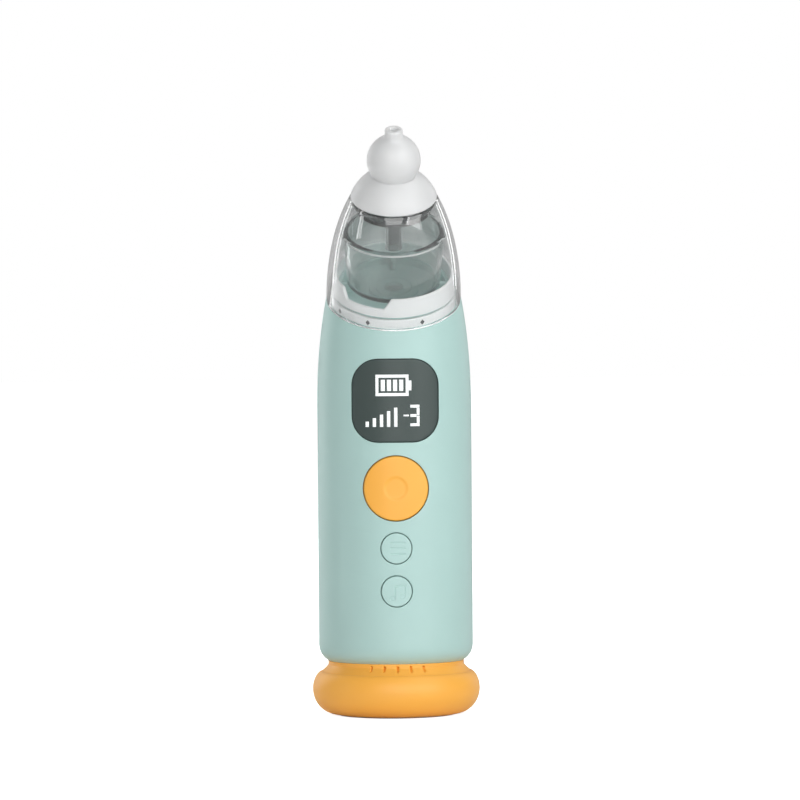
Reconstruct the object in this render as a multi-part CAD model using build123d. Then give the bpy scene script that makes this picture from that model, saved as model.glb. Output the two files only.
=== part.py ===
from build123d import *
import os
from math import cos, radians, sin, sqrt, tan

# Battery-powered nasal aspirator, in millimetres.
# +Z is up, the display and buttons face -Y, and the origin is the centre of the foot's flat
# underside. The column bends forward at its top, so the clear head leans 30 degrees towards -Y.
# Head pieces are drawn upright around Z and then placed in HEAD, whose local Z is the head's axis.

# ---- column (front and rear shell) ----
BODY_RADIUS = 23.6
WALL = 2.0
BODY_BOTTOM = 16.0
BODY_BOTTOM_ROUND = 5.5
BOTTOM_OPENING = 17.2
BEND_START = 94.35          # height where the back of the column starts to curve forward
BEND_ANGLE = 30.0
BACK_ARC_RADIUS = 87.0      # radius of the curved back, seen from the side
BEND_STEP = 5.0
PARTING_GAP = 0.12

# ---- display, buttons and their switches ----
DISPLAY_Z = 96.5
DISPLAY_SIZE = (26.4, 25.4)
DISPLAY_CORNER = 8.0
LENS_INSET = 0.25
LENS_THICKNESS = 1.2
LENS_GAP = 0.12
LEDGE_WIDTH = 1.4
MAIN_BUTTON_Z = 70.0
LEVEL_BUTTON_Z = 51.9
MUSIC_BUTTON_Z = 38.9
MAIN_BUTTON_HOLE = 10.0
SMALL_BUTTON_HOLE = 4.85
BUTTON_GAP = 0.27
BUTTON_PROUD = 0.35
BUTTON_FLANGE = 1.1         # how far the hidden flange reaches past the hole
DIMPLE_RADIUS = 3.3
DIMPLE_DEPTH = 0.35
STEM_END_Y = -18.8
SWITCH_SIZE = 6.0
SWITCH_FRONT_Y = -17.6
SWITCH_BORE = 1.7
PLUNGER_RADIUS = 1.6

# ---- circuit boards and chassis ----
PCB_FRONT_Y = -14.0
PCB_THICKNESS = 1.6
PCB_HALF_WIDTH = 14.5
PCB_BOTTOM = 30.0
PCB_TOP = 106.0
PCB_SCREW_X = 12.0
PCB_SCREW_Z = (33.0, 79.5)
CHASSIS_FRONT_Y = -11.6
CHASSIS_BACK_Y = -10.2
CHASSIS_BOTTOM = 28.0
CHASSIS_TOP = 104.0
CHASSIS_HALF_WIDTH = 13.0
TAB_SCREW_X = 15.5
TAB_SCREW_Z = (43.0, 95.0)
SCREW_RADIUS = 0.85
SCREW_HEAD_RADIUS = 1.8
SCREW_HOLE = 0.9
CHARGE_BOARD_Z = 24.4
CHARGE_BOARD_THICKNESS = 1.2
USB_SIZE = (8.94, 3.26)
USB_Z = CHARGE_BOARD_Z + CHARGE_BOARD_THICKNESS + USB_SIZE[1] / 2
USB_MOUTH_Y = 22.9
USB_DEPTH = 7.4

# ---- battery, motor and pump ----
BATTERY_Y = 4.0
BATTERY_RADIUS = 9.15
BATTERY_BOTTOM = 32.0
BATTERY_TOP = 67.0
WIRE_RADIUS = 0.5
PUMP_Y = 3.0                # motor and pump share one upright axis
MOTOR_RADIUS = 12.1
MOTOR_BOTTOM = 72.2
MOTOR_TOP = 96.0
CAN_WALL = 0.8
SHAFT_RADIUS = 1.0
SHAFT_HOLE = 1.05
ROTOR_RADIUS = 8.9
MAGNET_RADII = (9.6, 11.2)
PUMP_RADIUS = 12.5
PUMP_CAVITY = 9.5
PUMP_ROOF = 106.4
DIAPHRAGM_BOTTOM = 107.6
VALVE_BOTTOM = 108.8
COVER_BOTTOM = 110.6
COVER_TOP = 113.0
CUP_CIRCLE = 5.4            # radius of the circle that the three pump cups sit on
CUP_RADIUS = 2.8
CUP_ANGLES = (90, 210, 330)
CRANK_OFFSET = 2.2
CRANK_PIN = 0.8
PUMP_SCREW_CIRCLE = 11.0
PUMP_SCREW_ANGLES = (30, 150, 270)
NIPPLE_BORE = 1.1
NIPPLE_RADIUS = 1.95
HOSE_BORE = 2.0
HOSE_RADIUS = 3.2
HOSE_Y = -0.8               # the pump's suction nipple stands forward of the motor axis

# ---- foot ----
FOOT_RADIUS = 25.6
FOOT_WIDEST_Z = 8.0
FOOT_UNDERSIDE = 0.3
FOOT_FLAT_RADIUS = 18.6
FOOT_CREASE = (23.0, 13.3)   # where the sloping collar meets the foot's bulge
FOOT_SHOULDER = (24.6, 11.7)
NECK_RADIUS = 20.8
NECK_FOOT_Z = 15.4
SEAT_GAP = 0.05             # between the neck and the column's round bottom
FOOT_CAVITY = 18.0
SPIGOT_RADII = (15.2, 17.0)
SLOT_COUNT = 5
SLOT_PITCH = 11.2           # degrees between the sound slots
SLOT_Z = 15.1
SLOT_HEIGHT = 2.0
SLOT_WIDTH = 1.1
BASE_SCREW_CIRCLE = 15.9
PAD_RADIUS = 18.3
PAD_TOP = 1.0
BASE_PLATE_TOP = 2.6

# ---- head (heights along the leaning axis, from the rim of the column) ----
HOOD_GAP = 0.15
HOOD_OUTER = (20.5, 45.3)   # half-axes of the elliptical outline
HOOD_INNER = (19.0, 43.6)
HOOD_TOP = 35.0
HOOD_SHOULDER = 1.6
NECK_TUBE = (3.6, 5.2)
NECK_TUBE_TOP = 42.5
BALL_CENTRE = 47.6
BALL_RADIUS = 8.1
BALL_CAVITY = 6.4
TIP_TOP = 58.1
TIP_TUBE = 2.75
TIP_BORE = 1.1
TIP_WALL = 1.5
TIP_WAIST = 6.6             # radius of the crease between dome and ball
TIP_CROWN = 3.4             # radius where the ball turns into the spout
TIP_SLEEVE = (5.3, 6.9)
INLET_TUBE = (1.7, 2.6)
INLET_BOTTOM = 17.5
SPLASH_PLATE = 11.0
FLUID_CUP_BOTTOM = 5.5
FLUID_CUP_RADII = (14.3, 15.0)
FLUID_CUP_FLANGE = (22.8, 23.8)
FLUID_CUP_FLANGE_RADIUS = 15.6
FLUID_CUP_WALL = 1.2
DECK_RADIUS = 18.35
DECK_BOTTOM = -3.0
DECK_FLOOR = 2.5
DECK_WALL = (15.8, 17.2)
DECK_WALL_TOP = 5.4
DECK_BOSS = 7.4
DECK_BOSS_TOP = 3.6
FILTER_RADIUS = 5.5
RIB_RADIUS = 18.0           # mint rib that parts the two white rings
RIB_BOTTOM = 3.0
RIB_TOP = 3.6
COLLAR_RADII = (18.45, 18.2)  # at its foot and at its top
COLLAR_HIGH = 9.7
COLLAR_LOW = 6.2
COLLAR_NOTCH = (-50.0, -7.0)  # degrees around from the front, where the collar is lower

UP = (Align.CENTER, Align.CENTER, Align.MIN)


# ---------------------------------------------------------------- shared shapes

def section_radius(angle):
    """Radius of the column's circular section that leans forward by angle."""
    lean = cos(radians(angle))
    return (BACK_ARC_RADIUS * lean - (BACK_ARC_RADIUS - 2 * BODY_RADIUS)) / (2 * lean)


def section_plane(angle):
    """Plane of that section. Its front point stays on the vertical line y = -BODY_RADIUS."""
    lean = radians(angle)
    radius = section_radius(angle)
    centre_y = -BODY_RADIUS + radius * cos(lean)
    centre_z = BEND_START + (BACK_ARC_RADIUS - radius) * sin(lean)
    return Plane(origin=(0, centre_y, centre_z), x_dir=(1, 0, 0), z_dir=(0, -sin(lean), cos(lean)))


HEAD = section_plane(BEND_ANGLE)
HEAD_CENTRE = HEAD.origin


def column(inset=0.0, bottom=BODY_BOTTOM, top_angle=BEND_ANGLE):
    """Solid column, with its surface moved inwards by inset."""
    straight = Pos(0, 0, bottom) * Cylinder(BODY_RADIUS - inset, BEND_START - bottom, align=UP)
    if bottom == BODY_BOTTOM:
        straight = fillet(straight.edges().group_by(Axis.Z)[0], BODY_BOTTOM_ROUND)
    steps = round(top_angle / BEND_STEP)
    angles = [top_angle * step / steps for step in range(steps + 1)]
    rings = [section_plane(angle) * Circle(section_radius(angle) - inset) for angle in angles]
    return straight + loft([ring.face() for ring in rings])


def turned(*edges):
    """Solid of revolution about Z, from edges drawn as (radius, height)."""
    return revolve(Plane.XZ * make_face([edge for part in edges for edge in part.edges()]), Axis.Z)


def disc(radius, low, high, y=0.0, x=0.0):
    return Pos(x, y, low) * Cylinder(radius, high - low, align=UP)


def ring(inner, outer, low, high, y=0.0):
    return disc(outer, low, high, y) - disc(inner, low, high, y)


def block(x_range, y_range, z_range):
    low = (x_range[0], y_range[0], z_range[0])
    size = (x_range[1] - low[0], y_range[1] - low[1], z_range[1] - low[2])
    return Pos(*low) * Box(*size, align=(Align.MIN, Align.MIN, Align.MIN))


def facing(sketch, z, front, back, x=0.0):
    """Extrude a sketch, drawn as seen from the front, from y = front to y = back."""
    plane = Plane(origin=(x, front, z), x_dir=(1, 0, 0), z_dir=(0, -1, 0))
    return extrude(plane * sketch, amount=-(back - front))


def rod(radius, z, front, back, x=0.0):
    return facing(Circle(radius), z, front, back, x)


def group(solids):
    """One node made of several separate solids."""
    return Compound(children=[solid for piece in solids for solid in piece.solids()])


def tube(points, radius, bore=0.0):
    """Round tube along straight runs joined by tangent arcs as large as the runs allow."""
    vectors = [Vector(*point) for point in points]
    radii = []
    for before, corner, after in zip(vectors, vectors[1:], vectors[2:]):
        turn = (corner - before).get_angle(after - corner)
        shorter = min((corner - before).length, (after - corner).length)
        radii.append(0.45 * shorter / tan(radians(turn / 2)))
    path = FilletPolyline(*vectors, radius=radii) if radii else Polyline(*vectors)
    start = Plane(origin=path @ 0, z_dir=path % 0)
    section = start * Circle(radius)
    if bore:
        section -= start * Circle(bore)
    return sweep(section, path=path)


def screw(x, z, head_front, head_back, end):
    """Screw along +Y with its head towards the front."""
    return rod(SCREW_HEAD_RADIUS, z, head_front, head_back, x) + rod(SCREW_RADIUS, z, head_back, end, x)


# ---------------------------------------------------------------- head

def ellipse_radius(half_axes, height):
    return half_axes[0] * sqrt(1 - (height / half_axes[1]) ** 2)


def ellipse_curve(half_axes, low, high, count=7):
    heights = [low + (high - low) * step / (count - 1) for step in range(count)]
    return Spline(*[(ellipse_radius(half_axes, height), height) for height in heights])


def clear_hood():
    shoulder = HOOD_TOP - HOOD_SHOULDER
    outer = ellipse_curve(HOOD_OUTER, HOOD_GAP, HOOD_TOP)
    inner = ellipse_curve(HOOD_INNER, HOOD_GAP, shoulder)
    top = Polyline(
        (ellipse_radius(HOOD_OUTER, HOOD_TOP), HOOD_TOP),
        (NECK_TUBE[1], HOOD_TOP),
        (NECK_TUBE[1], NECK_TUBE_TOP),
        (NECK_TUBE[0], NECK_TUBE_TOP),
        (NECK_TUBE[0], shoulder),
        (ellipse_radius(HOOD_INNER, shoulder), shoulder),
    )
    rim = Line(
        (ellipse_radius(HOOD_INNER, HOOD_GAP), HOOD_GAP),
        (ellipse_radius(HOOD_OUTER, HOOD_GAP), HOOD_GAP),
    )
    return HEAD * turned(outer, top, inner, rim)


def ball_height(radius, side, ball=BALL_RADIUS):
    """Height where a ball around BALL_CENTRE has this radius, above (1) or below (-1) its centre."""
    return BALL_CENTRE + side * sqrt(ball ** 2 - radius ** 2)


def nozzle_tip():
    """Silicone dome, ball and spout in one piece, with a sleeve inside that grips the hood's neck."""
    base = HOOD_TOP + HOOD_GAP
    skirt = 13.0
    skirt_inside = skirt - TIP_WALL
    waist = (TIP_WAIST, ball_height(TIP_WAIST, -1))
    crown = (TIP_CROWN, ball_height(TIP_CROWN, 1))
    lip = 0.5
    bore_foot = (TIP_BORE, ball_height(TIP_BORE, 1, BALL_CAVITY))
    sleeve_in, sleeve_out = TIP_SLEEVE
    sleeve_top = (sleeve_in, ball_height(sleeve_in, -1, BALL_CAVITY))
    dome_root = (sleeve_out, 40.4)
    outside = [
        ThreePointArc((skirt, base), (11.1, 38.9), waist),
        ThreePointArc(waist, (BALL_RADIUS, BALL_CENTRE), crown),
        Polyline(crown, (TIP_TUBE, crown[1] + 1.0), (TIP_TUBE, TIP_TOP - lip)),
        ThreePointArc(
            (TIP_TUBE, TIP_TOP - lip),
            (TIP_TUBE - 0.3 * lip, TIP_TOP - 0.3 * lip),
            (TIP_TUBE - lip, TIP_TOP),
        ),
        Polyline((TIP_TUBE - lip, TIP_TOP), (TIP_BORE, TIP_TOP), bore_foot),
    ]
    inside = [
        ThreePointArc(bore_foot, (BALL_CAVITY, BALL_CENTRE), sleeve_top),
        Polyline(sleeve_top, (sleeve_in, base), (sleeve_out, base), dome_root),
        ThreePointArc(dome_root, (9.9, 38.2), (skirt_inside, base)),
        Line((skirt_inside, base), (skirt, base)),
    ]
    return HEAD * turned(*outside, *inside)


def inlet_tube():
    plate_low = 30.4
    plug_top = 36.0
    shoulder = HOOD_TOP - HOOD_SHOULDER
    duct = disc(INLET_TUBE[1], INLET_BOTTOM, plug_top)
    plate = disc(SPLASH_PLATE, plate_low, plate_low + 0.8)
    rim = ring(SPLASH_PLATE - 1.0, SPLASH_PLATE, plate_low, shoulder - 0.1)
    plug = disc(NECK_TUBE[0] - 0.1, shoulder, plug_top)
    return HEAD * (duct + plate + rim + plug - disc(INLET_TUBE[0], INLET_BOTTOM, plug_top))


def fluid_cup():
    low, high = FLUID_CUP_FLANGE
    bottom_radius, top_radius = FLUID_CUP_RADII
    corner = 2.0
    inner_corner = corner - 0.8
    floor = FLUID_CUP_BOTTOM + FLUID_CUP_WALL
    inner_top = top_radius - FLUID_CUP_WALL
    inner_bottom = bottom_radius - FLUID_CUP_WALL
    diagonal = 1 - cos(radians(45))
    outline = [
        Line((0, FLUID_CUP_BOTTOM), (bottom_radius - corner, FLUID_CUP_BOTTOM)),
        ThreePointArc(
            (bottom_radius - corner, FLUID_CUP_BOTTOM),
            (bottom_radius - corner * diagonal, FLUID_CUP_BOTTOM + corner * diagonal),
            (bottom_radius, FLUID_CUP_BOTTOM + corner),
        ),
        Polyline(
            (bottom_radius, FLUID_CUP_BOTTOM + corner),
            (top_radius, low),
            (FLUID_CUP_FLANGE_RADIUS, low),
            (FLUID_CUP_FLANGE_RADIUS, high),
            (inner_top, high),
            (inner_bottom, floor + inner_corner),
        ),
        ThreePointArc(
            (inner_bottom, floor + inner_corner),
            (inner_bottom - inner_corner * diagonal, floor + inner_corner * diagonal),
            (inner_bottom - inner_corner, floor),
        ),
        Polyline((inner_bottom - inner_corner, floor), (0, floor), (0, FLUID_CUP_BOTTOM)),
    ]
    cup = turned(*outline)
    for angle in (-155, -25, 25, 155):
        notch = Rot(0, 0, angle) * block((14.3, 16.5), (-1.6, 1.6), (low - 0.1, high + 0.1))
        cup -= notch
    return HEAD * cup


def suction_deck():
    nipple_end = DECK_BOTTOM - 3.5
    recess = DECK_BOSS_TOP - 3.0
    outline = Polyline(
        (NIPPLE_BORE, nipple_end),
        (NIPPLE_RADIUS, nipple_end),
        (NIPPLE_RADIUS, DECK_BOTTOM),
        (DECK_RADIUS, DECK_BOTTOM),
        (DECK_RADIUS, 0.0),
        (DECK_WALL[1], 0.0),
        (DECK_WALL[1], RIB_BOTTOM),
        (RIB_RADIUS, RIB_BOTTOM),
        (RIB_RADIUS, RIB_TOP),
        (DECK_WALL[1], RIB_TOP),
        (DECK_WALL[1], DECK_WALL_TOP),
        (DECK_WALL[0], DECK_WALL_TOP),
        (DECK_WALL[0], DECK_FLOOR),
        (DECK_BOSS, DECK_FLOOR),
        (DECK_BOSS, DECK_BOSS_TOP),
        (FILTER_RADIUS, DECK_BOSS_TOP),
        (FILTER_RADIUS, recess),
        (NIPPLE_BORE, recess),
        (NIPPLE_BORE, nipple_end),
    )
    deck = turned(outline)
    for angle in (0, 90, 180):
        deck += Rot(0, 0, angle) * block((11.5, 16.0), (-0.8, 0.8), (DECK_FLOOR, FLUID_CUP_BOTTOM - 0.05))
    return HEAD * deck


def filter_foam():
    low = DECK_BOSS_TOP - 3.0
    return HEAD * disc(FILTER_RADIUS - 0.1, low, low + 1.8)


def filter_cap():
    low = DECK_BOSS_TOP - 1.2
    return HEAD * ring(3.0, FILTER_RADIUS - 0.1, low, DECK_BOSS_TOP)


def sector(first, last, height, reach=25.0, steps=6):
    """Wedge around Z between two angles, counted from the front."""
    corners = [(0, 0)]
    for step in range(steps + 1):
        angle = radians(first + (last - first) * step / steps)
        corners.append((reach * sin(angle), -reach * cos(angle)))
    return extrude(make_face(Polyline(*corners, (0, 0))), amount=height)


def collar_seal():
    """White ring round the deck's wall, lower along one stretch with a step at each end."""
    low = RIB_TOP + 0.05
    inner = DECK_WALL[1] + 0.05
    outline = Polyline(
        (inner, low),
        (COLLAR_RADII[0], low),
        (COLLAR_RADII[1], COLLAR_HIGH - 0.2),
        (COLLAR_RADII[1] - 0.2, COLLAR_HIGH),
        (inner, COLLAR_HIGH),
        (inner, low),
    )
    collar = turned(outline)
    start, end = COLLAR_NOTCH
    bevel = 2.5
    for first, last, level in ((start, end, COLLAR_LOW + 1.4), (start + bevel, end - bevel, COLLAR_LOW)):
        collar -= Pos(0, 0, level) * sector(first, last, COLLAR_HIGH)
    return HEAD * collar


def base_seal():
    return HEAD * ring(DECK_WALL[1] + 0.05, 18.75, 0.05, RIB_BOTTOM - 0.05)


def inlet_hose():
    start = HEAD_CENTRE + HEAD.z_dir * (DECK_BOTTOM - 0.3)
    lean = tan(radians(BEND_ANGLE))
    corner = (0, HOSE_Y, start.Z - (HOSE_Y - start.Y) / lean)
    return tube([tuple(start), corner, (0, HOSE_Y, COVER_TOP + 0.3)], HOSE_RADIUS, HOSE_BORE)


# ---------------------------------------------------------------- shells

def window(grow=0.0):
    width, height = DISPLAY_SIZE
    return RectangleRounded(width + 2 * grow, height + 2 * grow, DISPLAY_CORNER + grow)


def front_layer(sketch, z, outer_inset, inner_inset):
    """Piece of the column's front between two depths, cut to a shape seen from the front."""
    layer = facing(sketch, z, -30, -10) & column(inset=outer_inset, bottom=10)
    return layer - column(inset=inner_inset, bottom=10)


def closed_shell():
    shell = column() - column(inset=WALL, bottom=BODY_BOTTOM + WALL, top_angle=BEND_ANGLE + BEND_STEP)
    shell -= disc(BOTTOM_OPENING, BODY_BOTTOM - 1, BODY_BOTTOM + WALL + 1)
    ledge = HEAD * ring(16.8, 19.4, DECK_BOTTOM - 1.2, DECK_BOTTOM - 0.05)
    return shell + (ledge & column(inset=0.5, bottom=10))


def parting_half(shell, front):
    """Front or rear half, split where the column's side is widest all the way up."""
    along = HEAD_CENTRE - Vector(0, 0, BODY_BOTTOM)
    towards_front = Vector(0, -along.Z, along.Y).normalized()
    side = 1 if front else -1
    origin = Vector(0, 0, BODY_BOTTOM) + towards_front * (side * PARTING_GAP / 2)
    plane = Plane(origin=origin, x_dir=(1, 0, 0), z_dir=towards_front)
    return split(shell, bisect_by=plane, keep=Keep.TOP if front else Keep.BOTTOM)


def front_shell(shell):
    half = parting_half(shell, front=True)
    half -= front_layer(window(), DISPLAY_Z, -1.0, LENS_INSET + LENS_THICKNESS)
    half -= facing(window(-LEDGE_WIDTH), DISPLAY_Z, -30, -10)
    half -= rod(MAIN_BUTTON_HOLE, MAIN_BUTTON_Z, -30, -10)
    for z in (LEVEL_BUTTON_Z, MUSIC_BUTTON_Z):
        half -= rod(SMALL_BUTTON_HOLE, z, -30, -10)
    return half


def rear_shell(shell):
    half = parting_half(shell, front=False)
    inside = column(inset=WALL / 2, bottom=BODY_BOTTOM + 1)
    for x in (-TAB_SCREW_X, TAB_SCREW_X):
        for z in TAB_SCREW_Z:
            half += rod(2.3, z, CHASSIS_BACK_Y, 20, x) & inside
            half -= rod(SCREW_HOLE, z, CHASSIS_BACK_Y, 0, x)
    for side in (-1, 1):
        rail = block(sorted((side * 7.4, side * 10.2)), (10.0, 21.0), (CHARGE_BOARD_Z - 1.5, CHARGE_BOARD_Z))
        half += rail & inside
    slot = RectangleRounded(USB_SIZE[0] + 0.5, USB_SIZE[1] + 0.5, 1.85)
    return half - facing(slot, USB_Z, 18, 26)


# ---------------------------------------------------------------- display, buttons, boards

def display_lens():
    inset = LENS_INSET
    return front_layer(window(-LENS_GAP), DISPLAY_Z, inset, inset + LENS_THICKNESS - 0.05)


def display_frame():
    outer = facing(RectangleRounded(23.0, 22.0, 2.0), DISPLAY_Z, -18.6, PCB_FRONT_Y)
    hollow = facing(RectangleRounded(21.2, 20.2, 1.0), DISPLAY_Z, -20, PCB_FRONT_Y)
    return (outer - hollow) & column(inset=WALL + 0.3, bottom=10)


def display_panel():
    return facing(RectangleRounded(21.0, 20.0, 0.8), DISPLAY_Z, -17.9, -16.3)


def button(z, hole, stem_radius):
    cap = front_layer(Circle(hole - BUTTON_GAP), z, -BUTTON_PROUD, WALL + 1.6)
    flange = front_layer(Circle(hole + BUTTON_FLANGE), z, WALL + 0.3, WALL + 1.6)
    stem = rod(stem_radius, z, -BODY_RADIUS + WALL, STEM_END_Y)
    return cap + flange + stem


def main_button():
    floor = DIMPLE_DEPTH - BUTTON_PROUD
    dimple = front_layer(Circle(DIMPLE_RADIUS), MAIN_BUTTON_Z, -BUTTON_PROUD - 1, floor)
    return button(MAIN_BUTTON_Z, MAIN_BUTTON_HOLE, 2.6) - dimple


def switch_plunger(z):
    return rod(PLUNGER_RADIUS, z, STEM_END_Y, -15.4)


def tact_switches():
    switches = []
    for z in (MAIN_BUTTON_Z, LEVEL_BUTTON_Z, MUSIC_BUTTON_Z):
        body = facing(RectangleRounded(SWITCH_SIZE, SWITCH_SIZE, 0.5), z, SWITCH_FRONT_Y, PCB_FRONT_Y)
        switches.append(body - rod(SWITCH_BORE, z, SWITCH_FRONT_Y, PCB_FRONT_Y - 0.4))
    return group(switches)


def screw_places(xs, zs):
    return [(side * xs, z) for z in zs for side in (-1, 1)]


def main_pcb():
    back = PCB_FRONT_Y + PCB_THICKNESS
    height = PCB_TOP - PCB_BOTTOM
    outline = RectangleRounded(2 * PCB_HALF_WIDTH, height, 2.0)
    board = facing(outline, (PCB_TOP + PCB_BOTTOM) / 2, PCB_FRONT_Y, back)
    for x, z in screw_places(PCB_SCREW_X, PCB_SCREW_Z):
        board -= rod(SCREW_HOLE + 0.2, z, PCB_FRONT_Y - 1, back + 1, x)
    return board


def pcb_screws():
    places = screw_places(PCB_SCREW_X, PCB_SCREW_Z)
    return group([screw(x, z, PCB_FRONT_Y - 1.2, PCB_FRONT_Y, CHASSIS_BACK_Y) for x, z in places])


def controller_chip():
    return facing(Rectangle(7.0, 7.0), 61.0, PCB_FRONT_Y - 1.0, PCB_FRONT_Y, x=10.0)


def pcb_parts():
    front = PCB_FRONT_Y
    coil = facing(RectangleRounded(5.0, 5.0, 1.0), 62.0, front - 2.2, front, x=-10.0)
    driver = facing(Rectangle(4.0, 5.0), 49.0, front - 1.2, front, x=-9.5)
    sound_chip = facing(Rectangle(5.0, 4.0), 49.0, front - 1.2, front, x=9.5)
    capacitors = [facing(Rectangle(2.0, 1.2), z, front - 0.8, front, x=9.0) for z in (41.0, 43.2)]
    lead_socket = facing(Rectangle(7.0, 3.0), 33.0, front - 3.0, front)
    return group([coil, driver, sound_chip, *capacitors, lead_socket])


def charge_board():
    top = CHARGE_BOARD_Z + CHARGE_BOARD_THICKNESS
    return block((-8.5, 8.5), (3.0, 19.4), (CHARGE_BOARD_Z, top))


def usb_shell():
    width, height = USB_SIZE
    wall = 0.32
    back = USB_MOUTH_Y - USB_DEPTH
    outer = facing(RectangleRounded(width, height, 1.6), USB_Z, back, USB_MOUTH_Y)
    inner = RectangleRounded(width - 2 * wall, height - 2 * wall, 1.28)
    return outer - facing(inner, USB_Z, back + 0.6, USB_MOUTH_Y + 1)


def usb_tongue():
    back = USB_MOUTH_Y - USB_DEPTH + 0.6
    return facing(Rectangle(6.6, 0.7), USB_Z, back, USB_MOUTH_Y - 0.9)


def chassis():
    plate = block(
        (-CHASSIS_HALF_WIDTH, CHASSIS_HALF_WIDTH),
        (CHASSIS_FRONT_Y, CHASSIS_BACK_Y),
        (CHASSIS_BOTTOM, CHASSIS_TOP),
    )
    for x, z in screw_places(TAB_SCREW_X, TAB_SCREW_Z):
        side = 1 if x > 0 else -1
        reach = sorted((side * 12, side * 17.4))
        plate += block(reach, (CHASSIS_FRONT_Y, CHASSIS_BACK_Y), (z - 3.5, z + 3.5))
        plate -= rod(SCREW_HOLE + 0.2, z, CHASSIS_FRONT_Y - 1, CHASSIS_BACK_Y + 1, x)
    for x, z in screw_places(PCB_SCREW_X, PCB_SCREW_Z):
        plate += rod(2.2, z, PCB_FRONT_Y + PCB_THICKNESS, CHASSIS_FRONT_Y, x)
        plate -= rod(SCREW_HOLE, z, CHASSIS_FRONT_Y - 2, CHASSIS_BACK_Y + 1, x)
    front_part = block((-30, 30), (CHASSIS_FRONT_Y, 9), (0, 120))
    for low, high in ((28.8, 30.4), (68.6, 70.0)):
        plate += disc(11.5, low, high, BATTERY_Y) & front_part
        plate += block((-9, 9), (CHASSIS_BACK_Y, BATTERY_Y), (low, high))
    plate -= disc(4.0, 28.0, 31.0, BATTERY_Y)
    clip = BATTERY_RADIUS + 0.15
    for low in (38.0, 53.0):
        plate += ring(clip, clip + 1.4, low, low + 4, BATTERY_Y) & front_part
        plate += block((-4, 4), (CHASSIS_BACK_Y, BATTERY_Y - clip - 0.5), (low, low + 4))
    plate += ring(MOTOR_RADIUS + 1.05, MOTOR_RADIUS + 2.3, 80.0, 86.0, PUMP_Y) & front_part
    for x, z in ((0, 60.0), (-6, 67.0), (6, 67.0)):
        width = 8.0 if x == 0 else 3.4
        plate -= facing(RectangleRounded(width, 4.4, 1.0), z, CHASSIS_FRONT_Y - 1, CHASSIS_BACK_Y + 1, x)
    for x in (-6, 6):
        plate -= block((x - 1.3, x + 1.3), (CHASSIS_BACK_Y - 0.5, -6.0), (68.0, 70.5))
    return plate


def chassis_screws():
    head_front = CHASSIS_FRONT_Y - 0.7
    places = screw_places(TAB_SCREW_X, TAB_SCREW_Z)
    return group([screw(x, z, head_front, CHASSIS_FRONT_Y, -2.0) for x, z in places])


# ---------------------------------------------------------------- motor and pump

def around(radius, angles, shape):
    """Copies of a shape on a circle around the motor axis."""
    copies = []
    for angle in angles:
        turn = radians(angle)
        copies.append(Pos(radius * cos(turn), PUMP_Y + radius * sin(turn), 0) * shape)
    return copies


def motor_can():
    can = disc(MOTOR_RADIUS, MOTOR_BOTTOM, MOTOR_TOP, PUMP_Y)
    can -= disc(MOTOR_RADIUS - CAN_WALL, MOTOR_BOTTOM, MOTOR_TOP - CAN_WALL, PUMP_Y)
    return can - disc(SHAFT_HOLE, MOTOR_TOP - 2, MOTOR_TOP + 1, PUMP_Y)


def motor_endcap():
    cap = disc(MOTOR_RADIUS - CAN_WALL - 0.05, MOTOR_BOTTOM, MOTOR_BOTTOM + 2.0, PUMP_Y)
    return cap - disc(SHAFT_HOLE, MOTOR_BOTTOM - 1, MOTOR_BOTTOM + 3, PUMP_Y)


def motor_magnets():
    sleeve = ring(*MAGNET_RADII, 77.0, 93.0, PUMP_Y)
    gap = block((-20, 20), (PUMP_Y - 3.5, PUMP_Y + 3.5), (70, 100))
    return group([sleeve - gap])


def motor_rotor():
    core = disc(ROTOR_RADIUS, 79.0, 91.0, PUMP_Y)
    for angle in (0, 120, 240):
        slot = Rot(0, 0, angle) * block((3.5, 12), (-1.2, 1.2), (78, 92))
        core -= Pos(0, PUMP_Y, 0) * slot
    windings = disc(7.0, 77.6, 92.4, PUMP_Y)
    commutator = disc(2.4, 75.0, 77.6, PUMP_Y)
    shaft = disc(SHAFT_RADIUS, 71.4, 99.6, PUMP_Y)
    return core + windings + commutator + shaft


def eccentric_hub():
    hub = disc(4.2, 96.6, 100.6, PUMP_Y) - disc(SHAFT_RADIUS, 96.0, 99.6, PUMP_Y)
    return hub + disc(CRANK_PIN, 100.6, 103.4, PUMP_Y + CRANK_OFFSET)


def wobble_yoke():
    socket = CRANK_OFFSET + CRANK_PIN + 0.3
    yoke = disc(socket + 1.2, 101.2, 106.0, PUMP_Y) - disc(socket, 101.2, 104.0, PUMP_Y)
    for arm in around(CUP_CIRCLE, CUP_ANGLES, disc(2.3, 104.6, 106.0)):
        yoke += arm
    return yoke


def pump_screw_holes(low, high):
    return around(PUMP_SCREW_CIRCLE, PUMP_SCREW_ANGLES, disc(SCREW_HOLE, low, high))


def pump_housing():
    housing = ring(PUMP_CAVITY, PUMP_RADIUS, MOTOR_TOP, PUMP_ROOF, PUMP_Y)
    housing += disc(PUMP_RADIUS, PUMP_ROOF, DIAPHRAGM_BOTTOM, PUMP_Y)
    cup_hole = disc(CUP_RADIUS + 0.2, PUMP_ROOF - 1, DIAPHRAGM_BOTTOM + 1)
    for hole in around(CUP_CIRCLE, CUP_ANGLES, cup_hole):
        housing -= hole
    for hole in pump_screw_holes(99.0, DIAPHRAGM_BOTTOM + 1):
        housing -= hole
    return housing


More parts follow.
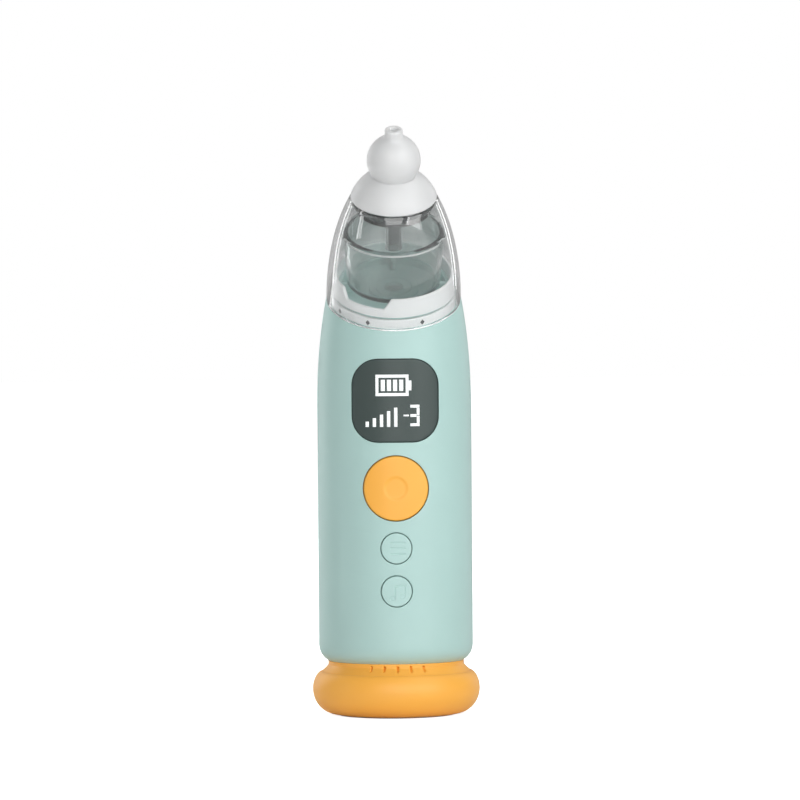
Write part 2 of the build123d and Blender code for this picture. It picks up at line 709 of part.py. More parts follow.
def diaphragm():
    sheet = disc(PUMP_RADIUS - 0.1, DIAPHRAGM_BOTTOM, VALVE_BOTTOM, PUMP_Y)
    for cup in around(CUP_CIRCLE, CUP_ANGLES, disc(CUP_RADIUS, 106.0, DIAPHRAGM_BOTTOM)):
        sheet += cup
    for chamber in around(CUP_CIRCLE, CUP_ANGLES, disc(CUP_RADIUS - 0.7, 106.8, VALVE_BOTTOM)):
        sheet -= chamber
    for hole in pump_screw_holes(DIAPHRAGM_BOTTOM - 1, VALVE_BOTTOM + 1):
        sheet -= hole
    return sheet


def valve_plate():
    plate = disc(PUMP_RADIUS - 0.1, VALVE_BOTTOM, COVER_BOTTOM, PUMP_Y)
    for port in around(CUP_CIRCLE, CUP_ANGLES, disc(0.8, VALVE_BOTTOM - 1, COVER_BOTTOM + 1)):
        plate -= port
    for hole in pump_screw_holes(VALVE_BOTTOM - 1, COVER_BOTTOM + 1):
        plate -= hole
    return plate


def pump_cover():
    cover = disc(PUMP_RADIUS, COVER_BOTTOM, COVER_TOP, PUMP_Y)
    cover -= ring(2.0, 8.0, COVER_BOTTOM, COVER_BOTTOM + 1.2, PUMP_Y)
    cover += disc(NIPPLE_RADIUS, COVER_TOP, COVER_TOP + 3.2, HOSE_Y)
    cover -= disc(NIPPLE_BORE, COVER_BOTTOM + 1.0, COVER_TOP + 4, HOSE_Y)
    for hole in pump_screw_holes(COVER_BOTTOM - 1, COVER_TOP + 1):
        cover -= hole
    return cover


def pump_screws():
    head = disc(SCREW_HEAD_RADIUS - 0.3, COVER_TOP, COVER_TOP + 1.2)
    shank = disc(SCREW_RADIUS, 100.0, COVER_TOP)
    return group(around(PUMP_SCREW_CIRCLE, PUMP_SCREW_ANGLES, head + shank))


def motor_sleeve():
    return ring(MOTOR_RADIUS + 0.03, MOTOR_RADIUS + 0.95, 76.0, 92.0, PUMP_Y)


# ---------------------------------------------------------------- battery, wires, speaker

def battery_cell():
    can = disc(BATTERY_RADIUS, BATTERY_BOTTOM, BATTERY_TOP - 1.0, BATTERY_Y)
    can = fillet(can.edges().group_by(Axis.Z)[-1], 0.8)
    return can + disc(3.2, BATTERY_TOP - 1.2, BATTERY_TOP, BATTERY_Y)


def lead_pair(x, points):
    """Two wires side by side along the same route, given as (y, z)."""
    return group([tube([(side * x, y, z) for y, z in points], WIRE_RADIUS) for side in (-1, 1)])


def battery_leads():
    board = PCB_FRONT_Y + PCB_THICKNESS
    over = BATTERY_TOP + 0.6
    return lead_pair(2.4, [(2.0, over), (-7.4, over), (-7.4, 60.0), (board, 60.0)])


def motor_leads():
    board = PCB_FRONT_Y + PCB_THICKNESS + 0.25
    return lead_pair(6.0, [(3.0, 71.3), (-6.6, 71.3), (board, 66.8)])


def speaker():
    frame = disc(11.0, 4.4, 6.0) + disc(7.0, BASE_PLATE_TOP, 4.4)
    surround = ring(8.6, 11.0, 6.0, 7.0)
    dome = Pos(0, 0, -5.6) * Sphere(13.0) & disc(6.0, 6.0, 9.0)
    return frame + surround + dome


def speaker_leads():
    return lead_pair(1.6, [(-9.6, 7.5), (-12.6, 13.0), (-13.2, 22.0), (-15.5, 31.3)])


# ---------------------------------------------------------------- foot

def foot_ring():
    widest = (FOOT_RADIUS, FOOT_WIDEST_Z)
    lower_reach = FOOT_RADIUS - FOOT_FLAT_RADIUS
    lower_rise = FOOT_WIDEST_Z - FOOT_UNDERSIDE
    quarter = cos(radians(45))
    lower_mid = (FOOT_FLAT_RADIUS + lower_reach * quarter, FOOT_WIDEST_Z - lower_rise * quarter)
    seat_centre = (BODY_RADIUS - BODY_BOTTOM_ROUND, BODY_BOTTOM + BODY_BOTTOM_ROUND)

    def seat(radius):
        """Point under the column's round bottom, a small gap away from it."""
        depth = sqrt((BODY_BOTTOM_ROUND + SEAT_GAP) ** 2 - (radius - seat_centre[0]) ** 2)
        return radius, seat_centre[1] - depth

    outline = [
        Spline(
            (FOOT_FLAT_RADIUS, FOOT_UNDERSIDE),
            lower_mid,
            widest,
            FOOT_SHOULDER,
            FOOT_CREASE,
            tangents=[(1, 0), (-1, 0.25)],
        ),
        ThreePointArc(FOOT_CREASE, (21.7, 14.36), (NECK_RADIUS, NECK_FOOT_Z)),
        Line((NECK_RADIUS, NECK_FOOT_Z), seat(NECK_RADIUS)),
        ThreePointArc(seat(NECK_RADIUS), seat(19.5), seat(seat_centre[0])),
        Polyline(
            seat(seat_centre[0]),
            (SPIGOT_RADII[1], BODY_BOTTOM - SEAT_GAP),
            (SPIGOT_RADII[1], BODY_BOTTOM + WALL + 0.1),
            (SPIGOT_RADII[1] + 0.8, BODY_BOTTOM + WALL + 0.1),
            (SPIGOT_RADII[1], BODY_BOTTOM + WALL + 1.8),
            (SPIGOT_RADII[0], BODY_BOTTOM + WALL + 1.8),
            (SPIGOT_RADII[0], BODY_BOTTOM - 1.0),
            (FOOT_CAVITY, BODY_BOTTOM - 1.0),
            (FOOT_CAVITY, PAD_TOP),
            (PAD_RADIUS + 0.1, PAD_TOP),
            (PAD_RADIUS + 0.1, FOOT_UNDERSIDE),
            (FOOT_FLAT_RADIUS, FOOT_UNDERSIDE),
        ),
    ]
    foot = turned(*outline)
    oval = SlotOverall(SLOT_HEIGHT, SLOT_WIDTH, rotation=90)
    slot = facing(oval, SLOT_Z, -NECK_RADIUS - 2.5, -FOOT_CAVITY + 1)
    for step in range(SLOT_COUNT):
        foot -= Rot(0, 0, (step - (SLOT_COUNT - 1) / 2) * SLOT_PITCH) * slot
    for x, y in base_screw_places():
        foot += disc(2.6, BASE_PLATE_TOP, BODY_BOTTOM - 1.0, y, x)
        foot -= disc(SCREW_HOLE, BASE_PLATE_TOP - 1, 10.0, y, x)
    return foot


def base_screw_places():
    angles = (90, 210, 330)
    return [(BASE_SCREW_CIRCLE * cos(radians(a)), BASE_SCREW_CIRCLE * sin(radians(a))) for a in angles]


def base_plate():
    plate = disc(FOOT_CAVITY - 0.1, PAD_TOP, BASE_PLATE_TOP)
    for x, y in base_screw_places():
        plate -= disc(SCREW_HOLE + 0.2, PAD_TOP - 1, BASE_PLATE_TOP + 1, y, x)
        plate -= disc(SCREW_HEAD_RADIUS + 0.1, PAD_TOP, PAD_TOP + 0.9, y, x)
    return plate


def base_screws():
    neck = PAD_TOP + 0.9
    one = disc(SCREW_HEAD_RADIUS, PAD_TOP + 0.05, neck) + disc(SCREW_RADIUS, neck, 9.0)
    return group([Pos(x, y, 0) * one for x, y in base_screw_places()])


def foot_pad():
    return disc(PAD_RADIUS, 0.0, PAD_TOP)


# ---------------------------------------------------------------- write the pieces

SHELL = closed_shell()

PIECES = {
    "nozzle_tip": nozzle_tip(),
    "clear_hood": clear_hood(),
    "inlet_tube": inlet_tube(),
    "fluid_cup": fluid_cup(),
    "collar_seal": collar_seal(),
    "base_seal": base_seal(),
    "suction_deck": suction_deck(),
    "filter_foam": filter_foam(),
    "filter_cap": filter_cap(),
    "inlet_hose": inlet_hose(),
    "front_shell": front_shell(SHELL),
    "rear_shell": rear_shell(SHELL),
    "display_lens": display_lens(),
    "display_frame": display_frame(),
    "display_panel": display_panel(),
    "main_button": main_button(),
    "level_button": button(LEVEL_BUTTON_Z, SMALL_BUTTON_HOLE, 1.9),
    "music_button": button(MUSIC_BUTTON_Z, SMALL_BUTTON_HOLE, 1.9),
    "main_switch_plunger": switch_plunger(MAIN_BUTTON_Z),
    "level_switch_plunger": switch_plunger(LEVEL_BUTTON_Z),
    "music_switch_plunger": switch_plunger(MUSIC_BUTTON_Z),
    "tact_switches": tact_switches(),
    "main_pcb": main_pcb(),
    "controller_chip": controller_chip(),
    "pcb_parts": pcb_parts(),
    "pcb_screws": pcb_screws(),
    "charge_board": charge_board(),
    "usb_shell": usb_shell(),
    "usb_tongue": usb_tongue(),
    "chassis": chassis(),
    "chassis_screws": chassis_screws(),
    "motor_can": motor_can(),
    "motor_endcap": motor_endcap(),
    "motor_magnets": motor_magnets(),
    "motor_rotor": motor_rotor(),
    "eccentric_hub": eccentric_hub(),
    "wobble_yoke": wobble_yoke(),
    "pump_housing": pump_housing(),
    "diaphragm": diaphragm(),
    "valve_plate": valve_plate(),
    "pump_cover": pump_cover(),
    "pump_screws": pump_screws(),
    "motor_sleeve": motor_sleeve(),
    "battery_cell": battery_cell(),
    "battery_leads": battery_leads(),
    "motor_leads": motor_leads(),
    "speaker": speaker(),
    "speaker_leads": speaker_leads(),
    "foot_ring": foot_ring(),
    "base_plate": base_plate(),
    "base_screws": base_screws(),
    "foot_pad": foot_pad(),
}

os.makedirs("parts", exist_ok=True)
for name, shape in PIECES.items():
    export_step(shape, f"parts/{name}.step")
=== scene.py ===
"""Looks of the nasal aspirator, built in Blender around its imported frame.

Sizes are in millimetres and become metres in new_piece(). +Z is up and the display faces -Y.
Head pieces are drawn upright and placed in HEAD, whose local Z is the axis of the leaning head.
"""
import math
from math import acos, asin, atan2, cos, pi, radians, sin, sqrt

import bmesh
import bpy
from mathutils import Matrix, Vector


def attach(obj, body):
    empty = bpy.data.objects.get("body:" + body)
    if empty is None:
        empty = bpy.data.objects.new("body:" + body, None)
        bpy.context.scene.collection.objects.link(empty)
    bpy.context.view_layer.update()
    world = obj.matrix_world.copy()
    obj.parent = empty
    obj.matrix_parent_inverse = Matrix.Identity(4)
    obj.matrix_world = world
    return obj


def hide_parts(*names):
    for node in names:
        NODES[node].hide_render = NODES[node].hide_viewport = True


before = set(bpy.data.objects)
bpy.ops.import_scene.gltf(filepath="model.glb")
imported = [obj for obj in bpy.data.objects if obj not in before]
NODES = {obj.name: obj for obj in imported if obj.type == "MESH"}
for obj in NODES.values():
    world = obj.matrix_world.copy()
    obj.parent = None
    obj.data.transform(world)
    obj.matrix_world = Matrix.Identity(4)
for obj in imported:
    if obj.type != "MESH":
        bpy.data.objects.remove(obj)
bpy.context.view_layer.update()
MM = 0.001
TINY = 1e-6                 # a turned point closer to the axis than this lies on it

# ---- column ----
BODY_RADIUS = 23.6
WALL = 2.0
BODY_BOTTOM = 16.0
BOTTOM_ROUND = 5.5
BOTTOM_OPENING = 17.2
BEND_START = 94.35
BEND_ANGLE = 30.0
BACK_ARC = 87.0
PARTING_GAP = 0.12
RIM_LEVEL = BEND_START + BEND_ANGLE     # above BEND_START a level counts degrees of lean
SHELL_BEVEL = 0.16
HOLE_RINGS = (0.0, 0.07, 0.16, 0.3, 0.5, 0.75)  # shares of the way from a hole to its border

# ---- display and buttons ----
DISPLAY_Z = 96.5
DISPLAY_HALF = (13.2, 12.7)
DISPLAY_CORNER = 8.0
LENS_INSET = 0.35
LENS_GAP = 0.12
LENS_DEPTH = 1.15
MAIN_BUTTON_Z = 70.0
LEVEL_BUTTON_Z = 51.9
MUSIC_BUTTON_Z = 38.9
MAIN_HOLE = 10.0
SMALL_HOLE = 4.85
BUTTON_GAP = 0.27
BUTTON_PROUD = 0.35
BUTTON_DEPTH = 2.65         # from the button's face to its hidden flange
FLANGE = (1.37, 3.95)       # reach past the button's side, and depth of its back
DIMPLE = (3.3, 0.35)        # radius and depth of the main button's dimple
ICON_DEPTH = 0.16
USB_Z = 27.23
USB_HALF = (4.72, 1.88)
KEY_STEM = (-20.2, -18.8)   # depths between which a button's stem runs

# ---- signs on the display, as left, right, low and high ----
BATTERY = (-5.95, 4.05, 97.9, 104.35)
BATTERY_FRAME = 0.9
BATTERY_POLE = (0.85, 99.55, 102.55)    # width, low and high
CHARGE_BARS = (-4.35, 1.25, 1.85, 0.62)     # first left, width, pitch, gap to the frame
RISING_BARS = (-9.0, 1.0, 2.15, 88.6, 90.2, 1.05)   # first left, width, pitch, low, first high, rise
DASH = (2.45, 4.1, 91.75, 92.25)
DIGIT = (4.5, 7.3, 88.75, 95.2)
DIGIT_STROKE = (0.85, 0.08)     # width of a stroke, and gap between two
PRINT_LIFT = (-0.02, 0.05)      # from under the window's face to the top of a printed sign
PRINT_STEP = 0.8                # about how far a printed sign runs straight
SIGN_SEAM = 0.01

# ---- head, by height along its axis ----
HOOD_OUTER = (20.5, 45.3)   # half axes of the ellipse that it is turned from
HOOD_INNER = (19.0, 43.6)
HOOD_FOOT = 0.02
HOOD_EDGE = 0.1
HOOD_TOP = 35.0
SHOULDER = 33.4
NECK_TUBE = (3.6, 5.2)      # inner and outer radius
NECK_TUBE_TOP = 42.5
BALL_CENTRE = 47.6
BALL_RADIUS = 8.1
BALL_CAVITY = 6.4
TIP_TOP = 58.1
RIB = (3.0, 3.6)            # underside and top of the mint rib between the white rings
COLLAR_HIGH = 9.7
COLLAR_LOW = 6.2
COLLAR_RAMPS = ((-57.0, -51.0), (-10.2, -3.2))  # degrees from the front where the collar steps
RING_MARKS = (-58.0, -25.0, 26.0)   # degrees from the front
MARK_HALF = (0.7, 0.8)      # half width and half height of a mark
MARK_Z = 1.35
SEAL_INSIDE = 17.25
SEAL_RADIUS = 18.75
CUP_FLOOR = (5.5, 6.7)      # underside and top
CUP_FLANGE = (15.6, 22.8, 23.8)     # radius, underside and top
CUP_NOTCHES = (65, 115, 245, 295)   # degrees from the front
NOTCH = (5.5, 1.5, 0.7)     # half width and ramp in degrees, and depth
RIM_HIGHLIGHT_BAND = (0.14, 0.05, 0.65)       # white band of painted highlight: how far it stands proud, and where it runs on the flange
DUCT = (1.7, 2.6)           # inner and outer radius
DUCT_FOOT = 17.5
SPLASH_PLATE = (11.0, 30.4, 33.3)   # radius, underside and top of its lip

# ---- foot, as (radius, height) ----
FOOT_UNDERSIDE = (18.6, 0.3)
FOOT_WIDEST = (25.6, 8.0)
FOOT_CREASE = (23.0, 13.3)
NECK = (20.8, 15.4)
SEAT_GAP = 0.05
SLOT_TURNS = [(step - 2) * 11.2 for step in range(5)]
SLOT_Z = 15.1
SLOT_HALF = (0.5, 1.0)
SLOT_DEPTH = 1.8


# ==== geometry helpers ====

def spaced(first, last, steps):
    """Evenly spaced values from first to last."""
    return [first + (last - first) * step / steps for step in range(steps + 1)]


def section(level):
    """Centre, radius and backward direction of the column's section at a level."""
    lean = radians(max(level - BEND_START, 0.0))
    radius = (BACK_ARC * cos(lean) - (BACK_ARC - 2 * BODY_RADIUS)) / (2 * cos(lean))
    rise = (BACK_ARC - radius) * sin(lean)
    centre = Vector((0, -BODY_RADIUS + radius * cos(lean), min(level, BEND_START) + rise))
    return centre, radius, Vector((0, cos(lean), sin(lean)))


def skin(level, turn, side, inset=0.0):
    """Point of the column at an angle from its front (side -1) or its back (side 1)."""
    centre, radius, back = section(level)
    reach = radius - inset
    return centre + Vector((1, 0, 0)) * (reach * sin(turn)) + back * (side * reach * cos(turn))


def level_at(x, z, inset=0.0):
    """Level of the section that the column's front passes through at x and z."""
    if z <= BEND_START:
        return z
    low, high = BEND_START, RIM_LEVEL + 8
    for _ in range(30):
        middle = (low + high) / 2
        centre, radius, back = section(middle)
        height = centre.z - sqrt((radius - inset) ** 2 - x * x) * back.z
        low, high = (middle, high) if height < z else (low, middle)
    return (low + high) / 2


def face_point(x, z, inset=0.0, side=-1):
    """Point of the column's front or back, seen straight on at x and z."""
    level = level_at(x, z, inset) if side < 0 else z
    centre, radius, back = section(level)
    y = centre.y + side * sqrt((radius - inset) ** 2 - x * x) * back.y
    return Vector((x, y, z))


HEAD_CENTRE = section(RIM_LEVEL)[0]
HEAD = Matrix.Translation(HEAD_CENTRE) @ Matrix.Rotation(radians(BEND_ANGLE), 4, "X")
UPRIGHT = Matrix.Identity(4)


def new_object(name, data):
    item = bpy.data.objects.new(name, data)
    bpy.context.scene.collection.objects.link(item)
    return item


def new_piece(name, mesh, body, slot, *stands_for, finish=None, weighted=True):
    """Object from points in millimetres and faces. It joins its body, takes its slot's finish unless a
    finish is given, and hides the parts it replaces.
    """
    data = bpy.data.meshes.new(name)
    data.from_pydata([Vector(point) * MM for point in mesh[0]], [], mesh[1])
    data.update()
    piece = new_object(name, data)
    fix_normals(data)
    data.shade_smooth()
    data.materials.append(finish or FINISHES[slot])
    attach(piece, body)
    if stands_for:
        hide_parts(*stands_for)
    if weighted:
        weigh_normals(piece)
    return piece


def fix_normals(mesh):
    """Turn every face of a closed mesh outwards."""
    work = bmesh.new()
    work.from_mesh(mesh)
    bmesh.ops.recalc_face_normals(work, faces=work.faces)
    work.to_mesh(mesh)
    work.free()


def soften_edges(piece, width):
    bevel = piece.modifiers.new("edges", "BEVEL")
    bevel.width = width * MM
    bevel.segments = 3
    bevel.limit_method = "ANGLE"
    bevel.angle_limit = radians(38.0)
    weigh_normals(piece)


def weigh_normals(piece):
    weighted = piece.modifiers.new("normals", "WEIGHTED_NORMAL")
    weighted.weight = 60
    weighted.keep_sharp = False


# ---- turned pieces ----

def rounded(*corners, steps=4):
    """Profile from (radius, height) corners. A third value rounds a corner by that radius."""
    flat = [Vector(corner[:2]) for corner in corners]
    profile = []
    for index, corner in enumerate(corners):
        here = flat[index]
        if len(corner) < 3:
            profile.append(here)
            continue
        before = (flat[index - 1] - here).normalized()
        after = (flat[(index + 1) % len(flat)] - here).normalized()
        half = before.angle(after) / 2
        reach = corner[2] / math.tan(half)
        centre = here + (before + after).normalized() * (corner[2] / sin(half))
        start = here + before * reach - centre
        end = here + after * reach - centre
        sweep = start.angle_signed(end)
        for angle in spaced(0, -sweep, steps):
            profile.append(centre + Matrix.Rotation(angle, 2) @ start)
    return [tuple(point) for point in profile]


def arc(centre, radius, first, last, steps):
    """Points round a centre (radius, height), with angles in degrees from straight outwards."""
    angles = [radians(angle) for angle in spaced(first, last, steps)]
    return [(centre[0] + radius * cos(a), centre[1] + radius * sin(a)) for a in angles]


def arc_through(start, middle, end, steps):
    """Points on the arc through three points."""
    (ax, ay), (bx, by), (cx, cy) = start, middle, end
    twice = 2 * (ax * (by - cy) + bx * (cy - ay) + cx * (ay - by))
    a2, b2, c2 = ax * ax + ay * ay, bx * bx + by * by, cx * cx + cy * cy
    ux = (a2 * (by - cy) + b2 * (cy - ay) + c2 * (ay - by)) / twice
    uy = (a2 * (cx - bx) + b2 * (ax - cx) + c2 * (bx - ax)) / twice
    first = math.degrees(atan2(ay - uy, ax - ux))
    last = math.degrees(atan2(cy - uy, cx - ux))
    via = math.degrees(atan2(by - uy, bx - ux))
    if (last - first) % 360 < (via - first) % 360:
        last = first - (first - last) % 360
    else:
        last = first + (last - first) % 360
    return arc((ux, uy), math.hypot(ax - ux, ay - uy), first, last, steps)


def ellipse_radius(half_axes, height):
    return half_axes[0] * sqrt(1 - (height / half_axes[1]) ** 2)


def ellipse(half_axes, low, high, steps):
    return [(ellipse_radius(half_axes, height), height) for height in spaced(low, high, steps)]


def even_turns(count):
    return spaced(0, 360, count)[:-1]


def turned_mesh(profile, place, turns, shape=None):
    """Points and quads of a closed profile turned about Z. shape(turn, radius, height) may
    move each point. Points on the axis are shared."""
    points, faces, columns = [], [], []
    on_axis = {}
    for turn in turns:
        column = []
        for index, (radius, height) in enumerate(profile):
            if radius < TINY and index in on_axis:
                column.append(on_axis[index])
                continue
            if shape:
                radius, height = shape(turn, radius, height)
            angle = radians(turn)
            points.append(place @ Vector((radius * sin(angle), -radius * cos(angle), height)))
            column.append(len(points) - 1)
            if radius < TINY:
                on_axis[index] = column[-1]
        columns.append(column)
    for left, right in zip(columns, columns[1:] + columns[:1]):
        for low in range(len(profile)):
            high = (low + 1) % len(profile)
            corners = [left[low], right[low], right[high], left[high]]
            corners = list(dict.fromkeys(corners))
            if len(corners) > 2:
                faces.append(corners)
    return points, faces


def turned_piece(name, profile, count, body, slot, *stands_for, place=HEAD, shape=None, **looks):
    mesh = turned_mesh(profile, place, even_turns(count), shape)
    new_piece(name, mesh, body, slot, *stands_for, **looks)


def joined(*meshes):
    """One list of points and one of faces, from several."""
    points, faces = [], []
    for more_points, more_faces in meshes:
        start = len(points)
        points += more_points
        faces += [[start + index for index in face] for face in more_faces]
    return points, faces


def rod_mesh(radius, z, front, back, sides=32):
    """Closed round rod along Y with softened ends."""
    edge = min(0.15, radius / 3)
    profile = rounded((0, 0), (radius, 0, edge), (radius, back - front, edge), (0, back - front))
    along_y = Matrix.Translation((0, front, z)) @ Matrix.Rotation(-pi / 2, 4, "X")
    return turned_mesh(profile, along_y, even_turns(sides))


# ---- shapes seen from the front ----

def circle(radius):
    return lambda angle, grow=0.0: ((radius + grow) * cos(angle), (radius + grow) * sin(angle))


def rounded_box(half, corner):
    """Outline of a rectangle with round corners, by its angle from the centre."""
    def outline(angle, grow=0.0):
        width, height, bend = half[0] + grow, half[1] + grow, corner + grow
        c, s = max(abs(cos(angle)), TINY), max(abs(sin(angle)), TINY)
        if width / c * s <= height - bend:
            reach = width / c
        elif height / s * c <= width - bend:
            reach = height / s
        else:
            towards = c * (width - bend) + s * (height - bend)
            beyond = (width - bend) ** 2 + (height - bend) ** 2 - bend ** 2
            reach = towards + sqrt(towards ** 2 - beyond)
        return reach * cos(angle), reach * sin(angle)
    return outline


def square_angle(u, v):
    """Angle whose outline point answers to a point on the edge of a square."""
    if abs(u) >= abs(v):
        return pi / 4 * (v / u) + (pi if u < 0 else 0)
    return pi / 2 - pi / 4 * (u / v) + (pi if v < 0 else 0)


def cap_mesh(outline, z, front, rim, back, count):
    """Closed cap in the column's face. front(x, z) is its face's depth along Y at a point and back
    its thickness. rim lists (growth of the outline, depth below the face) down its side."""
    points, faces = [], []

    def layer(depth, grow):
        grid = {}
        for i in range(-count, count + 1):
            for j in range(-count, count + 1):
                k = max(abs(i), abs(j)) / count
                x, dz = outline(square_angle(i, j), grow) if k else (0, 0)
                x, dz = x * k, dz * k
                points.append(Vector((x, front(x, z + dz) + depth, z + dz)))
                grid[i, j] = len(points) - 1
        for i in range(-count, count):
            for j in range(-count, count):
                faces.append([grid[i, j], grid[i + 1, j], grid[i + 1, j + 1], grid[i, j + 1]])
        return [grid[place] for place in edge]

    edge = square_border(count, count, 1)
    loop = layer(0.0, rim[0][0])
    for grow, depth in rim[1:]:
        following = []
        for i, j in edge:
            x, dz = outline(square_angle(i, j), grow)
            base = outline(square_angle(i, j), min(grow, 0.0))
            points.append(Vector((x, front(base[0], z + base[1]) + depth, z + dz)))
            following.append(len(points) - 1)
        join_loops(faces, loop, following)
        loop = following
    join_loops(faces, loop, layer(back, rim[-1][0]))
    return points, faces


def square_border(wide, high, step):
    """Points counterclockwise round a rectangle, from its lower left corner."""
    border = [(x, -high) for x in range(-wide, wide, step)]
    border += [(wide, y) for y in range(-high, high, step)]
    border += [(x, high) for x in range(wide, -wide, -step)]
    return border + [(-wide, y) for y in range(high, -high, -step)]


def join_loops(faces, first, second):
    for index in range(len(first)):
        after = (index + 1) % len(first)
        faces.append([first[index], first[after], second[after], second[index]])


def stacked(points):
    """Closed solid from rings of four points."""
    last = len(points) - 4
    faces = [[3, 2, 1, 0], list(range(last, last + 4))]
    for low in range(0, last, 4):
        join_loops(faces, range(low, low + 4), range(low + 4, low + 8))
    return points, faces


def round_rim(radius, depth, steps=4):
    """Rim that rolls over from the face into a straight side."""
    quarter = spaced(0, pi / 2, steps)
    rim = [(-radius * (1 - sin(angle)), radius * (1 - cos(angle))) for angle in quarter]
    return rim + [(0.0, depth)]


# ---- walls with holes ----

class Sheet:
    """A wall given by pairs of outer and inner points, closed along every free edge."""

    def __init__(self):
        self.index = {}
        self.outer = []
        self.inner = []
        self.quads = []

    def point(self, pair):
        key = tuple(round(value, 3) for value in pair[0])
        if key not in self.index:
            self.index[key] = len(self.outer)
            self.outer.append(pair[0])
            self.inner.append(pair[1])
        return self.index[key]

    def quad(self, *pairs):
        corners = list(dict.fromkeys(self.point(pair) for pair in pairs))
        if len(corners) > 2:
            self.quads.append(corners)

    def strip(self, first, second, closed=False):
        """Quads between two rows of pairs."""
        count = len(first)
        for index in range(count if closed else count - 1):
            after = (index + 1) % count
            self.quad(first[index], first[after], second[after], second[index])

    def mesh(self):
        count = len(self.outer)
        edges = {(face[i - 1], face[i]) for face in self.quads for i in range(len(face))}
        faces = self.quads + [[count + i for i in reversed(face)] for face in self.quads]
        for a, b in edges:
            if (b, a) not in edges:
                faces.append([b, a, count + a, count + b])
        return self.outer + self.inner, faces


PARTING_FOOT = Vector((0, 0, BODY_BOTTOM))
PARTING_NORMAL = Vector((0, -(HEAD_CENTRE - PARTING_FOOT).z, HEAD_CENTRE.y)).normalized()


def parting_turn(level, side):
    """Angle from the middle of a half shell to its parting edge."""
    centre, radius, back = section(level)
    offset = (centre - PARTING_FOOT).dot(PARTING_NORMAL)
    return acos((-side * PARTING_GAP / 2 - offset) / (side * radius * back.dot(PARTING_NORMAL)))


def bottom_rows():
    """(radius, height) pairs, outer and inner, from the bottom opening round to the side."""
    rows = [((BOTTOM_OPENING, BODY_BOTTOM), (BOTTOM_OPENING, BODY_BOTTOM + WALL))]
    inner_round = BOTTOM_ROUND - WALL
    centre = BODY_RADIUS - BOTTOM_ROUND
    for angle in spaced(0, pi / 2, 6):
        outer = (centre + BOTTOM_ROUND * sin(angle), BODY_BOTTOM + BOTTOM_ROUND * (1 - cos(angle)))
        inner_rise = WALL + inner_round * (1 - cos(angle))
        inner = (centre + inner_round * sin(angle), BODY_BOTTOM + inner_rise)
        rows.append((outer, inner))
    return rows


def half_shell(side, reach, columns, bands):
    """Front (side -1) or rear (side 1) half of the column. bands go up from the bottom round:
    each is (top, rows, hole), with hole an outline and its height, or None. The middle part goes
    out to reach on each side, with its points spaced evenly along X."""
    sheet = Sheet()
    side_columns = 13
    middle = slice(side_columns, side_columns + columns + 1)
    across = spaced(-reach, reach, columns)

    def pair(level, turn):
        return skin(level, turn, side), skin(level, turn, side, WALL)

    def turns_for(level, radius):
        even = [asin(x / radius) for x in across]
        wing = spaced(even[-1], parting_turn(level, side), side_columns)[1:]
        return [-turn for turn in reversed(wing)] + even + wing

    def section_row(level):
        return [pair(level, turn) for turn in turns_for(level, section(level)[1])]

    def ring_row(outer, inner):
        row = []
        for turn in turns_for(BODY_BOTTOM, BODY_RADIUS):
            x, y = sin(turn), side * cos(turn)
            row.append(tuple(Vector((radius * x, radius * y, z)) for radius, z in (outer, inner)))
        return row

    def face_row(heights):
        """Row whose middle part lies at given heights, and whose wings lie on one section."""
        row = section_row(level_at(reach, heights[-1]))
        for i, (x, height) in enumerate(zip(across, heights), side_columns):
            at = level_at(x, height)
            row[i] = pair(at, asin(x / section(at)[1]))
        return row

    rows = [ring_row(outer, inner) for outer, inner in bottom_rows()]
    for low, high in zip(rows, rows[1:]):
        sheet.strip(low, high)
    base = BODY_BOTTOM + BOTTOM_ROUND
    rim = [outer.z for outer, inner in section_row(RIM_LEVEL)[middle]]
    row = rows[-1]
    for top, count, hole in bands:
        stack = [row]
        for share in spaced(0, 1, count)[1:]:
            if side > 0:
                stack.append(section_row(base + (top - base) * share))
            elif top == RIM_LEVEL:
                stack.append(face_row([base + (height - base) * share for height in rim]))
            else:
                stack.append(face_row([base + (top - base) * share] * (columns + 1)))
        for low, high in zip(stack, stack[1:]):
            if hole is None:
                sheet.strip(low, high)
                continue
            sheet.strip(low[:side_columns + 1], high[:side_columns + 1])
            sheet.strip(low[side_columns + columns:], high[side_columns + columns:])
        if hole is not None:
            bottom, top_edge = stack[0][middle], stack[-1][middle]
            right = [level_row[side_columns + columns] for level_row in stack]
            left = [level_row[side_columns] for level_row in stack]
            border = bottom[:-1] + right[:-1] + top_edge[:0:-1] + left[:0:-1]
            fill_round_hole(sheet, border, columns, count, side, *hole)
        row = stack[-1]
        base = top
    return sheet


def fill_round_hole(sheet, border, columns, rows, side, outline, z):
    """Rings of quads from the border of a rectangle in to a hole."""
    corners = square_border(columns, rows, 2)
    angles = [square_angle(u / columns, v / rows) for u, v in corners]
    rings = []
    for share in HOLE_RINGS:
        ring = []
        for angle, (outer, inner) in zip(angles, border):
            hole_x, hole_dz = outline(angle)
            x = hole_x + (outer.x - hole_x) * share
            height = z + hole_dz + (outer.z - z - hole_dz) * share
            face = face_point(x, height, 0.0, side)
            straight = face_point(x, height, WALL, side)
            square = face + (inner - outer)
            ring.append((face, straight.lerp(square, share)))
        rings.append(ring)
    rings.append(border)
    for first, second in zip(rings, rings[1:]):
        sheet.strip(second, first, closed=True)


# ==== materials ====

def linear(red, green, blue):
    """Linear colour from 0-255 display values."""
    values = [value / 255 for value in (red, green, blue)]
    return tuple(((v + 0.055) / 1.055) ** 2.4 if v > 0.04045 else v / 12.92 for v in values) + (1.0,)


